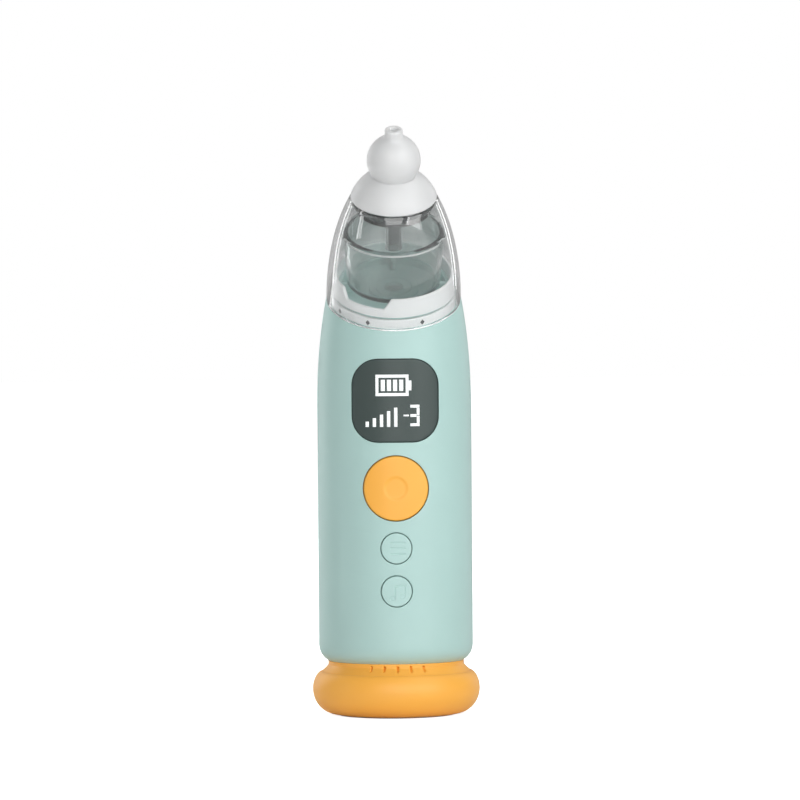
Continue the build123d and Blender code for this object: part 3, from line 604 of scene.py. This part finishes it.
class Finish:
    """Shader nodes of a new material or world. Noises are in object space."""

    def __init__(self, name, kind=bpy.data.materials, shader="Principled BSDF"):
        self.data = kind.new(name)
        self.data.use_nodes = True
        self.nodes = self.data.node_tree.nodes
        self.link = self.data.node_tree.links.new
        self.shader = self.nodes[shader]

    def add(self, kind, **values):
        """New shader node, with values for its inputs."""
        node = self.nodes.new(f"ShaderNode{kind}")
        fill(node, values)
        return node

    def noise(self, scale, detail=3.0, stretch=(1, 1, 1)):
        """Noise with its scale in cells per metre."""
        mapping = self.add("Mapping", Scale=stretch)
        noise = self.add("TexNoise", Scale=scale, Detail=detail)
        self.link(self.add("TexCoord").outputs["Object"], mapping.inputs["Vector"])
        self.link(mapping.outputs["Vector"], noise.inputs["Vector"])
        return noise.outputs["Fac"]

    def spread(self, source, low, high):
        """Map a noise value around its middle to a range."""
        ranged = self.add("MapRange", From_Min=0.3, From_Max=0.7, To_Min=low, To_Max=high)
        self.link(source, ranged.inputs["Value"])
        return ranged.outputs["Result"]

    def mottle(self, source, first, second):
        mix = self.add("Mix")
        mix.data_type = "RGBA"
        fill(mix, {"A": first, "B": second})
        self.link(self.spread(source, 0.0, 1.0), mix.inputs["Factor"])
        return mix.outputs["Result"]

    def bump(self, source, strength, distance):
        node = self.add("Bump", Strength=strength, Distance=distance * MM)
        self.link(source, node.inputs["Height"])
        return node.outputs["Normal"]

    def surface(self, colours, roughness, normal, **values):
        """Link what varies over the surface and set what doesn't."""
        sources = {"Base Color": colours, "Roughness": roughness, "Normal": normal}
        for socket, source in sources.items():
            self.link(source, self.shader.inputs[socket])
        fill(self.shader, values)


def fill(node, values):
    for name, value in values.items():
        node.inputs[name.replace("_", " ")].default_value = value


def shade(colour, share):
    return tuple(min(1.0, value * share) for value in colour[:3]) + (1.0,)


def moulded(name, colour, roughness, variation=0.03, grain=3500.0, relief=0.012, **values):
    """Moulded plastic or rubber: broad mottling, uneven gloss and a fine surface grain."""
    finish = Finish(name)
    broad, fine = finish.noise(45.0), finish.noise(grain, 4.0)
    colours = finish.mottle(broad, shade(colour, 1 - variation), shade(colour, 1 + variation))
    gloss = finish.spread(fine, roughness - 0.04, roughness + 0.05)
    finish.surface(colours, gloss, finish.bump(fine, 0.35, relief), **values)
    return finish.data


def clear(name, tint, ior=1.24, roughness=0.02):
    """Clear moulded plastic or silicone with slight waves in its surface."""
    finish = Finish(name)
    slow, fine = finish.noise(160.0, 2.0), finish.noise(1500.0)
    colours = finish.mottle(slow, shade(tint, 0.985), tint)
    gloss = finish.spread(fine, roughness * 0.5, roughness * 1.6)
    finish.surface(
        colours, gloss, finish.bump(slow, 0.25, 0.02),
        Transmission_Weight=1.0, IOR=ior, Coat_Weight=1.0, Coat_Roughness=0.02, Coat_IOR=1.7,
    )
    let_lamps_through(finish)
    return finish.data


def let_lamps_through(finish):
    """Let lamp light reach what is behind clear plastic, as it would through a thin wall."""
    path = finish.add("LightPath")
    through = finish.add("BsdfTransparent", Color=CLEAR)
    mix = finish.add("MixShader")
    finish.link(path.outputs["Is Shadow Ray"], mix.inputs["Fac"])
    finish.link(finish.shader.outputs["BSDF"], mix.inputs[1])
    finish.link(through.outputs["BSDF"], mix.inputs[2])
    finish.link(mix.outputs["Shader"], finish.nodes["Material Output"].inputs["Surface"])


def metal(name, colour, roughness):
    """Drawn or machined metal with fine streaks."""
    finish = Finish(name)
    streaks = finish.noise(900.0, 4.0, (1, 1, 12))
    colours = finish.mottle(streaks, shade(colour, 0.88), shade(colour, 1.05))
    gloss = finish.spread(streaks, roughness - 0.08, roughness + 0.1)
    finish.surface(colours, gloss, finish.bump(streaks, 0.3, 0.01), Metallic=1.0)
    return finish.data


def circuit(name):
    """Solder mask over copper: pale tracks show through the green."""
    finish = Finish(name)
    tracks = finish.add(
        "TexBrick", Scale=260.0, Mortar_Size=0.03,
        Color1=linear(20, 96, 58), Color2=linear(26, 106, 64), Mortar=linear(52, 138, 88),
    )
    finish.link(finish.add("TexCoord").outputs["Object"], tracks.inputs["Vector"])
    gloss = finish.spread(finish.noise(2500.0), 0.3, 0.42)
    finish.surface(tracks.outputs["Color"], gloss, finish.bump(tracks.outputs["Fac"], 0.3, 0.03))
    return finish.data


def glow(name, colour, strength):
    """Lit display segment, slightly uneven like a row of small lamps."""
    finish = Finish(name)
    cells = finish.noise(900.0)
    colours = finish.mottle(cells, shade(colour, 0.96), colour)
    finish.link(colours, finish.shader.inputs["Emission Color"])
    gloss = finish.spread(cells, 0.35, 0.5)
    finish.surface(colours, gloss, finish.bump(cells, 0.1, 0.01), Emission_Strength=strength)
    return finish.data


MINT = linear(178, 211, 206)
ORANGE = linear(255, 182, 72)
CLEAR = (0.9, 0.91, 0.91, 1.0)
FINISHES = {
    "mint_plastic": moulded("mint_shell", MINT, 0.42, variation=0.015),
    "mint_inner_plastic": moulded("mint_deck", shade(MINT, 0.97), 0.4, variation=0.02),
    "mint_button_plastic": moulded("mint_key", shade(MINT, 1.03), 0.45, variation=0.015),
    "orange_plastic": moulded("orange_shell", ORANGE, 0.42, variation=0.02),
    "white_silicone": moulded(
        "silicone_tip", linear(222, 223, 223), 0.34, variation=0.01, relief=0.008,
        Subsurface_Weight=0.35, Subsurface_Scale=0.004, Subsurface_Radius=(1.0, 0.95, 0.9),
    ),
    "white_seal_silicone": moulded("silicone_seal", linear(246, 247, 247), 0.38, variation=0.01),
    "clear_plastic": clear("clear_shell", CLEAR),
    "smoked_plastic": moulded(
        "smoked_window", linear(70, 81, 79), 0.34, variation=0.02, relief=0.003, Specular_IOR_Level=0.3,
    ),
    "display_module": moulded("display_dark", linear(40, 44, 46), 0.25, relief=0.004),
    "white_plastic": moulded("white_moulding", linear(226, 226, 222), 0.45),
    "grey_plastic": moulded("grey_moulding", linear(118, 122, 125), 0.5),
    "black_plastic": moulded("black_moulding", linear(28, 29, 31), 0.5),
    "circuit_board": circuit("board_green"),
    "steel": metal("drawn_steel", (0.62, 0.63, 0.64, 1.0), 0.28),
    "magnet": moulded(
        "sintered_magnet", linear(52, 52, 55), 0.62, variation=0.12, grain=2200.0, relief=0.05,
    ),
    "battery_wrap": moulded("shrink_wrap", linear(44, 104, 172), 0.3, variation=0.05, relief=0.02),
    "black_rubber": moulded("black_rubber", linear(30, 30, 30), 0.68, grain=2400.0, relief=0.03),
    "grey_rubber": moulded("grey_rubber", linear(186, 187, 187), 0.66, grain=2400.0, relief=0.03),
    "clear_silicone": clear("clear_hose", (0.9, 0.93, 0.92, 1.0), 1.41, roughness=0.18),
    "wire_sheath": moulded("wire_sheath", linear(190, 40, 34), 0.45, variation=0.06),
    "foam": moulded("open_foam", linear(138, 156, 152), 0.9, variation=0.1, grain=1500.0, relief=0.35),
}
# The cup is a darker copy of the clear plastic: its tint is painted shade for the dim inside of the
# head.
CUP_SHADED_FINISH = clear("clear_cup_painted_shade", (0.72, 0.78, 0.765, 1.0))
# The duct is a much darker copy of the clear plastic: its grey tint is painted shade.
TUBE_SHADED_FINISH = clear("clear_tube_painted_shade", (0.45, 0.46, 0.46, 1.0))
# Pale finish of the band on the cup's flange: a painted highlight where the rim catches the light.
RIM_HIGHLIGHT_FINISH = moulded(
    "painted_rim_highlight", linear(240, 243, 242), 0.25, variation=0.01, Transmission_Weight=0.35
)
GLOW = glow("display_light", linear(232, 236, 236), 0.55)

# Inner pieces keep their CAD mesh and only take a finish.
CAD_FINISHES = {
    "mint_inner_plastic": ["filter_cap"],
    "display_module": ["display_panel"],
    "white_plastic": ["chassis", "display_frame", "wobble_yoke", "eccentric_hub", "base_plate"],
    "grey_plastic": ["pump_housing", "pump_cover", "valve_plate"],
    "black_plastic": [
        "tact_switches", "controller_chip", "pcb_parts", "usb_tongue", "speaker", "motor_endcap",
        "main_switch_plunger", "level_switch_plunger", "music_switch_plunger",
    ],
    "circuit_board": ["main_pcb", "charge_board"],
    "steel": [
        "usb_shell", "pcb_screws", "chassis_screws", "pump_screws", "base_screws",
        "motor_can", "motor_rotor",
    ],
    "magnet": ["motor_magnets"],
    "battery_wrap": ["battery_cell"],
    "black_rubber": ["motor_sleeve", "diaphragm"],
    "clear_silicone": ["inlet_hose"],
    "wire_sheath": ["battery_leads", "motor_leads", "speaker_leads"],
    "foam": ["filter_foam"],
}


def finish_cad_nodes():
    for slot, names in CAD_FINISHES.items():
        for name in names:
            node = NODES[name]
            node.data.materials.clear()
            node.data.materials.append(FINISHES[slot])


# ==== column pieces ====

def display_outline():
    return rounded_box(DISPLAY_HALF, DISPLAY_CORNER)


def make_shells():
    front = half_shell(-1, reach=16.5, columns=24, bands=[
        (32.4, 7, None),
        (45.4, 10, (circle(SMALL_HOLE), MUSIC_BUTTON_Z)),
        (58.4, 10, (circle(SMALL_HOLE), LEVEL_BUTTON_Z)),
        (81.6, 18, (circle(MAIN_HOLE), MAIN_BUTTON_Z)),
        (111.4, 24, (display_outline(), DISPLAY_Z)),
        (RIM_LEVEL, 7, None),
    ])
    rear = half_shell(1, reach=10.0, columns=16, bands=[
        (21.2, 1, None),
        (33.2, 10, (rounded_box(USB_HALF, USB_HALF[1] - 0.02), USB_Z)),
        (BEND_START, 28, None),
        (RIM_LEVEL, 16, None),
    ])
    covers = (("front_cover", front, "front_shell"), ("rear_cover", rear, "rear_shell"))
    for name, sheet, node in covers:
        piece = new_piece(name, sheet.mesh(), "handle", "mint_plastic", node, weighted=False)
        soften_edges(piece, SHELL_BEVEL)


def make_lens():
    def front(x, z):
        return face_point(x, z, LENS_INSET).y

    rim = [(grow - LENS_GAP, depth) for grow, depth in round_rim(0.3, LENS_DEPTH)]
    lens = cap_mesh(display_outline(), DISPLAY_Z, front, rim, LENS_DEPTH, count=22)
    new_piece("display_window", lens, "handle", "smoked_plastic", "display_lens")


def bar(left, right, low, high):
    """Thin bar printed on the window, as a closed strip that follows its curve."""
    under, top = PRINT_LIFT
    points = []
    for x in spaced(left, right, max(1, round((right - left) / PRINT_STEP))):
        for z, lift in ((low, under), (low, top), (high, top), (high, under)):
            points.append(face_point(x, z, LENS_INSET - lift))
    return stacked(points)


def battery_bars():
    left, right, low, high = BATTERY
    pole_width, pole_low, pole_high = BATTERY_POLE
    inner_low, inner_high = low + BATTERY_FRAME, high - BATTERY_FRAME
    bars = [bar(left, right, low, inner_low), bar(left, right, inner_high, high)]
    for side_left in (left, right - BATTERY_FRAME):
        side_right = side_left + BATTERY_FRAME
        bars.append(bar(side_left, side_right, inner_low + SIGN_SEAM, inner_high - SIGN_SEAM))
    bars.append(bar(right + SIGN_SEAM, right + pole_width, pole_low, pole_high))
    first, width, pitch, gap = CHARGE_BARS
    for index in range(4):
        charge_left = first + index * pitch
        bars.append(bar(charge_left, charge_left + width, inner_low + gap, inner_high - gap))
    return bars


def rising_bars():
    first, width, pitch, low, high, rise = RISING_BARS
    lefts = [first + index * pitch for index in range(5)]
    return [bar(left, left + width, low, high + index * rise) for index, left in enumerate(lefts)]


def digit_bars():
    """The digit 3, from five bars."""
    left, right, low, high = DIGIT
    stroke, gap = DIGIT_STROKE
    middle = (low + high) / 2
    return [
        bar(left, right, high - stroke, high),
        bar(left, right - stroke - gap, middle - stroke / 2, middle + stroke / 2),
        bar(left, right, low, low + stroke),
        bar(right - stroke, right, low + stroke + gap, middle - gap),
        bar(right - stroke, right, middle + gap, high - stroke - gap),
    ]


def make_display_signs():
    signs = {
        "battery_sign": battery_bars(),
        "level_bars_sign": rising_bars(),
        "dash_sign": [bar(*DASH)],
        "digit_sign": digit_bars(),
    }
    for name, bars in signs.items():
        new_piece(name, joined(*bars), "handle", "display_module", finish=GLOW, weighted=False)


# ---- buttons ----

def smooth(value):
    value = min(1.0, max(0.0, value))
    return value * value * (3 - 2 * value)


def stroke_distance(x, z, start, end):
    """Distance from a point to a straight stroke's centre line."""
    along = Vector(end) - Vector(start)
    offset = Vector((x, z)) - Vector(start)
    share = min(1.0, max(0.0, offset.dot(along) / along.length_squared))
    return (offset - along * share).length


def engraved(strokes, x, z, edge=0.14):
    """Depth, from 0 to 1, of strokes given as (start, end, half width)."""
    depth = 0.0
    for start, end, half_width in strokes:
        distance = stroke_distance(x, z, start, end) - half_width
        depth = max(depth, 1 - smooth((distance + edge / 2) / edge))
    return depth


LINES_ICON = [((-1.65, dz), (2.5, dz), 0.22) for dz in (1.75, 0.05, -1.65)]
NOTE_ICON = [
    ((-1.45, -2.2), (-1.0, -2.0), 0.62),
    ((1.55, -1.6), (2.0, -1.4), 0.62),
    ((-0.5, -1.95), (-0.5, 1.5), 0.15),
    ((2.5, -1.35), (2.5, 2.1), 0.15),
    ((-0.5, 1.4), (2.5, 2.0), 0.3),
]


def button_face(z, strokes):
    def front(x, height):
        depth = ICON_DEPTH * engraved(strokes, x, height - z)
        return face_point(x, height, -BUTTON_PROUD).y + depth
    return front


def dimpled_face(x, height):
    """The main button's face, softly dished in its middle."""
    radius, depth = DIMPLE
    distance = math.hypot(x, height - MAIN_BUTTON_Z)
    dish = 1 - smooth((distance - radius + 0.55) / 1.1)
    crown = 0.1 * max(1 - (distance / MAIN_HOLE) ** 2, 0.0)
    return face_point(x, height, -BUTTON_PROUD).y + depth * dish - crown


def make_button(name, node, z, hole, face, slot, body, count, edge, stem):
    rim = round_rim(edge, BUTTON_DEPTH)
    rim += [(FLANGE[0], BUTTON_DEPTH), (FLANGE[0], FLANGE[1])]
    cap = cap_mesh(circle(hole - BUTTON_GAP), z, face, rim, FLANGE[1], count)
    shaft = rod_mesh(stem, z, *KEY_STEM)
    new_piece(name, joined(cap, shaft), body, slot, node)


def make_buttons():
    make_button(
        "main_button_cap", "main_button", MAIN_BUTTON_Z, MAIN_HOLE, dimpled_face,
        "orange_plastic", "main_key", count=34, edge=0.45, stem=2.6,
    )
    keys = (("level", LEVEL_BUTTON_Z, LINES_ICON), ("music", MUSIC_BUTTON_Z, NOTE_ICON))
    for key, z, icon in keys:
        make_button(
            f"{key}_button_cap", f"{key}_button", z, SMALL_HOLE, button_face(z, icon),
            "mint_button_plastic", f"{key}_key", count=40, edge=0.22, stem=1.9,
        )


# ==== head pieces ====

def make_hood():
    profile = ellipse(HOOD_OUTER, HOOD_FOOT + HOOD_EDGE, HOOD_TOP - 0.3, 40)
    outside, inside = ellipse_radius(HOOD_OUTER, HOOD_TOP), ellipse_radius(HOOD_INNER, SHOULDER)
    bore, neck = NECK_TUBE
    profile += rounded(
        (outside - 0.1, HOOD_TOP, 0.15), (neck, HOOD_TOP, 0.3), (neck, NECK_TUBE_TOP, 0.25),
        (bore, NECK_TUBE_TOP, 0.25), (bore, SHOULDER, 0.2), (inside - 0.1, SHOULDER),
    )
    profile += list(reversed(ellipse(HOOD_INNER, HOOD_FOOT + HOOD_EDGE, SHOULDER - 0.3, 36)))
    profile += [(HOOD_INNER[0] + HOOD_EDGE, HOOD_FOOT), (HOOD_OUTER[0] - HOOD_EDGE, HOOD_FOOT)]
    turned_piece("clear_hood_shell", profile, 128, "hood", "clear_plastic", "clear_hood")


def make_fluid_cup():
    reach, low, high = CUP_FLANGE

    def notched(turn, radius, height):
        """Four shallow notches in the flange."""
        if radius > reach - 0.5:
            for middle in CUP_NOTCHES:
                away = abs((turn - middle + 180) % 360 - 180)
                radius -= NOTCH[2] * (1 - smooth((away - NOTCH[0]) / NOTCH[1]))
        return radius, height

    profile = rounded(
        (0, CUP_FLOOR[0]), (14.3, CUP_FLOOR[0], 1.9), (15.0, low, 0.2), (reach, low, 0.3),
        (reach, high, 0.3), (13.8, high, 0.3), (13.1, CUP_FLOOR[1], 1.2), (0, CUP_FLOOR[1]),
        steps=5,
    )
    turned_piece(
        "fluid_cup_clear", profile, 180, "cup", "clear_plastic", "fluid_cup",
        shape=notched, finish=CUP_SHADED_FINISH,
    )
    # A thin white band round the flange's rim, a painted highlight.
    proud, start, end = reach + RIM_HIGHLIGHT_BAND[0], low + RIM_HIGHLIGHT_BAND[1], low + RIM_HIGHLIGHT_BAND[2]
    edge = rounded(
        (reach - 0.02, start), (proud, start, 0.06), (proud, end, 0.06), (reach - 0.02, end),
    )
    turned_piece(
        "cup_rim_highlight", edge, 180, "cup", "clear_plastic",
        shape=notched, finish=RIM_HIGHLIGHT_FINISH, weighted=False,
    )


def make_inlet_tube():
    inner, outer = DUCT
    plate, low, lip = SPLASH_PLATE
    neck, top = 3.5, 36.0
    profile = rounded(
        (inner, DUCT_FOOT, 0.15), (outer, DUCT_FOOT, 0.25), (outer, low, 0.6), (plate, low, 0.3),
        (plate, lip, 0.2), (plate - 1, lip, 0.2), (plate - 1, low + 0.8, 0.4),
        (2.9, low + 0.8, 0.4), (neck, SHOULDER, 0.2), (neck, top, 0.2), (inner, top, 0.2),
    )
    turned_piece(
        "inlet_tube_clear", profile, 96, "hood", "clear_plastic", "inlet_tube", finish=TUBE_SHADED_FINISH,
    )


def ball_height(radius, side, ball=BALL_RADIUS):
    return BALL_CENTRE + side * sqrt(ball ** 2 - radius ** 2)


def ball_degrees(radius, side, ball=BALL_RADIUS):
    """Angle on the ball, up from straight outwards, where it has this radius."""
    return side * math.degrees(acos(radius / ball))


def make_nozzle():
    base = HOOD_TOP + 0.15
    skirt, wall, waist, crown = 13.0, 1.5, 6.6, 3.4
    bore, spout, lip = 1.1, 2.75, 0.6
    sleeve_in, sleeve_out = 5.3, 6.9
    centre = (0, BALL_CENTRE)
    profile = [(skirt - 0.35, base), (skirt, base + 0.35)]
    profile += arc_through((skirt - 0.02, base + 0.5), (11.1, 38.9), (waist, ball_height(waist, -1)), 16)
    profile += arc(centre, BALL_RADIUS, ball_degrees(waist, -1) + 3, ball_degrees(crown, 1) - 3, 30)
    neck_low = ball_height(crown, 1)
    throat = ((crown - 0.15, neck_low + 0.25), (spout + 0.12, neck_low + 0.75), (spout, neck_low + 1.4))
    profile += arc_through(*throat, 5)
    profile += arc((spout - lip, TIP_TOP - lip), lip, 0, 90, 6)
    profile += [(bore + 0.2, TIP_TOP), (bore, TIP_TOP - 0.2), (bore, ball_height(bore, 1, BALL_CAVITY))]
    first = ball_degrees(bore, 1, BALL_CAVITY)
    last = ball_degrees(sleeve_in, -1, BALL_CAVITY)
    profile += arc(centre, BALL_CAVITY, first, last, 20)[1:]
    profile += [(sleeve_in, base + 0.2), (sleeve_in + 0.2, base)]
    profile += [(sleeve_out - 0.2, base), (sleeve_out, base + 0.2)]
    profile += arc_through((sleeve_out, 40.4), (9.9, 38.2), (skirt - wall, base), 10)
    turned_piece("silicone_nozzle", profile, 120, "nozzle", "white_silicone", "nozzle_tip")


def collar_level(turn):
    """Height of the collar's top round the head."""
    turn = (turn + 180) % 360 - 180
    fall, rise = COLLAR_RAMPS
    lowered = (turn - fall[0]) / (fall[1] - fall[0])
    raised = (rise[1] - turn) / (rise[1] - rise[0])
    share = min(1.0, max(0.0, min(lowered, raised)))
    return COLLAR_HIGH - (COLLAR_HIGH - COLLAR_LOW) * share


def make_seals():
    def stepped(turn, radius, height):
        drop = COLLAR_HIGH - collar_level(turn)
        return radius, height - drop if height > COLLAR_LOW else height

    collar = rounded(
        (SEAL_INSIDE, RIB[1] + 0.05), (18.45, RIB[1] + 0.05, 0.15),
        (18.2, COLLAR_HIGH, 0.35), (SEAL_INSIDE, COLLAR_HIGH, 0.25),
    )
    turned_piece(
        "silicone_collar", collar, 360, "handle", "white_seal_silicone", "collar_seal",
        shape=stepped,
    )
    base_top = RIB[0] - 0.05
    base = rounded(
        (SEAL_INSIDE, 0.05), (SEAL_RADIUS, 0.05, 0.1), (SEAL_RADIUS, base_top, 0.25),
        (SEAL_INSIDE, base_top),
    )
    turned_piece("silicone_base_ring", base, 160, "handle", "white_seal_silicone", "base_seal")


def make_ring_marks():
    """Small diamond marks on the lower white ring."""
    half_width, half_height = MARK_HALF
    marks = []
    for turn in RING_MARKS:
        place = HEAD @ Matrix.Rotation(radians(turn), 4, "Z")
        points = []
        for height, x in ((-half_height, 0.08), (0, half_width), (half_height, 0.08)):
            for side, depth in ((-1, 0.15), (1, 0.15), (1, -0.07), (-1, -0.07)):
                points.append(place @ Vector((side * x, depth - SEAL_RADIUS, MARK_Z + height)))
        marks.append(stacked(points))
    new_piece("ring_marks", joined(*marks), "handle", "black_rubber", weighted=False)


def make_deck():
    profile = rounded(
        (1.1, -6.5), (1.95, -6.5), (1.95, -3.0), (18.35, -3.0, 0.2), (18.35, 0.0, 0.2),
        (17.2, 0.0), (17.2, RIB[0]), (18.0, RIB[0], 0.15), (18.0, RIB[1], 0.15),
        (17.2, RIB[1]), (17.2, 5.4, 0.25), (15.8, 5.4, 0.25), (15.8, 2.5, 0.5),
        (7.4, 2.5, 0.4), (7.4, 3.6, 0.3), (5.5, 3.6, 0.2), (5.5, 0.6, 0.2),
        (1.1, 0.6, 0.1),
    )
    deck = turned_mesh(profile, HEAD, even_turns(128))
    ribs = []
    near, far, half = 12.0, 15.9, 0.8
    for turn in (0, 90, 180):
        place = HEAD @ Matrix.Rotation(radians(turn), 4, "Z")
        points = []
        for height, trim in ((2.4, 0.0), (5.25, 0.0), (5.45, 0.2)):
            start, side = near + trim, half - trim
            for x, y in ((start, -side), (far, -side), (far, side), (start, side)):
                points.append(place @ Vector((x, y, height)))
        ribs.append(stacked(points))
    new_piece("mint_deck", joined(deck, *ribs), "handle", "mint_inner_plastic", "suction_deck")


# ==== foot ====

def bezier(corners, steps):
    """Points on the cubic curve of four corners."""
    start, first, second, end = (Vector(corner) for corner in corners)
    points = []
    for t in spaced(0, 1, steps):
        u = 1 - t
        point = start * u ** 3 + first * 3 * u * u * t + second * 3 * u * t * t + end * t ** 3
        points.append(tuple(point))
    return points


def make_foot():
    flat, underside = FOOT_UNDERSIDE
    reach, rise = FOOT_WIDEST[0] - flat, FOOT_WIDEST[1] - underside
    profile = []
    for angle in spaced(-pi / 2, 0, 14):
        profile.append((flat + reach * cos(angle), FOOT_WIDEST[1] + rise * sin(angle)))
    widest, crease, neck = Vector(FOOT_WIDEST), Vector(FOOT_CREASE), Vector(NECK)
    profile += bezier((widest, widest + Vector((0, 3.2)), crease + Vector((0.9, -0.02)), crease), 16)[1:]
    profile.append(tuple(crease + Vector((-0.14, -0.2))))
    profile += arc_through(crease + Vector((-0.22, 0.13)), (21.7, 14.36), neck, 26)
    seat_centre = (BODY_RADIUS - BOTTOM_ROUND, BODY_BOTTOM + BOTTOM_ROUND)
    seat_radius = BOTTOM_ROUND + SEAT_GAP
    seat_turn = math.degrees(acos((neck.x - seat_centre[0]) / seat_radius))
    seat = arc(seat_centre, seat_radius, -seat_turn, -90, 5)
    profile += [(neck.x, height) for height in spaced(neck.y, seat[0][1], 14)[1:-1]]
    profile += seat
    profile += rounded(
        (17.0, BODY_BOTTOM - SEAT_GAP), (17.0, 18.1), (17.8, 18.1), (17.0, 19.8),
        (15.2, 19.8), (15.2, 15.0), (18.0, 15.0, 0.5), (18.0, 1.0), (18.4, 1.0),
        (18.4, underside),
    )

    def slotted(turn, radius, height):
        """Five oval slots in the front of the neck, each deepening to its right side."""
        half_width, half_height = SLOT_HALF
        if radius > neck.x - 0.01 and abs(height - SLOT_Z) < half_height + 0.2:
            turn = (turn + 180) % 360 - 180
            upward = max(abs(height - SLOT_Z) - (half_height - half_width), 0.0)
            for middle in SLOT_TURNS:
                across = radians(turn - middle) * neck.x
                distance = math.hypot(across, upward) - half_width
                slope = smooth((across + half_width) / (2 * half_width))
                radius -= SLOT_DEPTH * slope ** 2 * (1 - smooth((distance + 0.1) / 0.14))
        return radius, height

    turns = spaced(-30, 30, 150) + spaced(30, 330, 120)[1:-1]
    mesh = turned_mesh(profile, UPRIGHT, turns, slotted)
    new_piece("foot_base_ring", mesh, "handle", "orange_plastic", "foot_ring")


def make_foot_pad():
    """Rubber pad with two shallow rings moulded in its underside."""
    profile = [(0, 1.0), (0, 0.0)]
    profile += rounded(
        (9.0, 0.0), (9.15, 0.15), (9.65, 0.15), (9.8, 0.0),
        (14.5, 0.0), (14.65, 0.15), (15.15, 0.15), (15.3, 0.0),
        (18.3, 0.0, 0.25), (18.3, 1.0, 0.1),
    )
    turned_piece(
        "rubber_foot_pad", profile, 128, "handle", "grey_rubber", "foot_pad", place=UPRIGHT,
    )


# ==== scene ====

def make_floor():
    finish = Finish("studio_floor")
    fill(finish.shader, {
        "Base Color": (0.85, 0.85, 0.85, 1.0), "Roughness": 0.9, "Emission Color": (1, 1, 1, 1),
    })
    backlight = finish.add("Math")
    backlight.operation = "MULTIPLY"
    backlight.inputs[1].default_value = 0.85
    finish.link(finish.add("LightPath").outputs["Is Camera Ray"], backlight.inputs[0])
    finish.link(backlight.outputs["Value"], finish.shader.inputs["Emission Strength"])
    mesh = bpy.data.meshes.new("studio_floor")
    corners = [(x, y, 0) for x, y in square_border(6, 6, 12)]
    mesh.from_pydata(corners, [], [(0, 1, 2, 3)])
    mesh.materials.append(finish.data)
    floor = new_object("studio_floor", mesh)


def soft_light(name, place, aim, size, power):
    data = bpy.data.lights.new(name, "AREA")
    data.shape = "RECTANGLE"
    data.size, data.size_y = size
    data.energy = power
    light = new_object(name, data)
    light.location = place
    light.rotation_euler = (Vector(aim) - Vector(place)).to_track_quat("-Z", "Y").to_euler()
    return light


def make_lights():
    aim = (0, 0, 0.1)
    soft_light("front_softbox", (0.0, -1.75, 0.5), aim, (1.2, 1.4), 15.0)
    soft_light("right_panel", (1.25, -1.15, 0.35), aim, (0.9, 1.5), 11.0)
    soft_light("top_softbox", (0.75, -0.35, 1.45), aim, (1.0, 1.0), 4.6)
    rim = soft_light("rim_panel", (-0.92, 1.31, 0.3), aim, (1.0, 1.6), 27.0)
    rim.visible_glossy = False
    rim.visible_transmission = False
    # Narrow strips that only show as streaks in the clear pieces.
    strips = {
        "front_strip": ((0.82, -1.36, 0.3), 0.14, 3.0),
        "left_strip": ((-1.58, -0.3, 0.3), 0.12, 2.5),
        "rear_strip": ((-1.15, 1.1, 0.3), 0.16, 1.8),
        "right_strip": ((1.05, 1.2, 0.3), 0.12, 1.5),
    }
    for name, (place, width, power) in strips.items():
        strip = soft_light(name, place, aim, (width, 1.4), power)
        strip.visible_diffuse = False


def make_world():
    """White backdrop for the camera. Other rays meet a studio that is brightest behind the object
    and dimmest at its sides, which gives the clear pieces their dark edges."""
    studio = Finish("studio", bpy.data.worlds, "Background")
    bpy.context.scene.world = studio.data
    parts = studio.add("SeparateXYZ")
    depth = studio.add("MapRange", From_Min=-1.0)
    ramp = studio.add("ValToRGB")
    stops = ((0.0, 0.35), (0.3, 0.25), (0.6, 0.25), (0.85, 0.5), (1.0, 0.5))
    elements = ramp.color_ramp.elements
    while len(elements) < len(stops):
        elements.new(0.5)
    for element, (position, value) in zip(elements, stops):
        element.position = position
        element.color = (value, value, value, 1)
    mix = studio.add("Mix")
    mix.data_type = "RGBA"
    mix.inputs["B"].default_value = (1, 1, 1, 1)
    studio.link(studio.add("TexCoord").outputs["Generated"], parts.inputs["Vector"])
    studio.link(parts.outputs["Y"], depth.inputs["Value"])
    studio.link(depth.outputs["Result"], ramp.inputs["Fac"])
    studio.link(ramp.outputs["Color"], mix.inputs["A"])
    studio.link(studio.add("LightPath").outputs["Is Camera Ray"], mix.inputs["Factor"])
    studio.link(mix.outputs["Result"], studio.shader.inputs["Color"])


def make_camera():
    data = bpy.data.cameras.new("camera")
    data.lens = 220.4
    data.sensor_width = 36.0
    data.clip_start, data.clip_end = 0.05, 20.0
    camera = new_object("camera", data)
    place, aim = Vector((-0.022, -1.5, 0.128)), Vector((0.0018, 0.0, 0.0962))
    level = (aim - place).to_track_quat("-Z", "Y").to_matrix().to_4x4()
    roll = Matrix.Rotation(radians(-0.45), 4, "Z")
    camera.matrix_world = Matrix.Translation(place) @ level @ roll
    bpy.context.scene.camera = camera


make_camera()
finish_cad_nodes()
make_shells()
make_lens()
make_display_signs()
make_buttons()
make_hood()
make_fluid_cup()
make_inlet_tube()
make_nozzle()
make_seals()
make_ring_marks()
make_deck()
make_foot()
make_foot_pad()
make_floor()
make_lights()
make_world()
bpy.context.scene.view_settings.view_transform = "Standard"
bpy.context.scene.cycles.max_bounces = 24
bpy.context.scene.cycles.transmission_bounces = 24
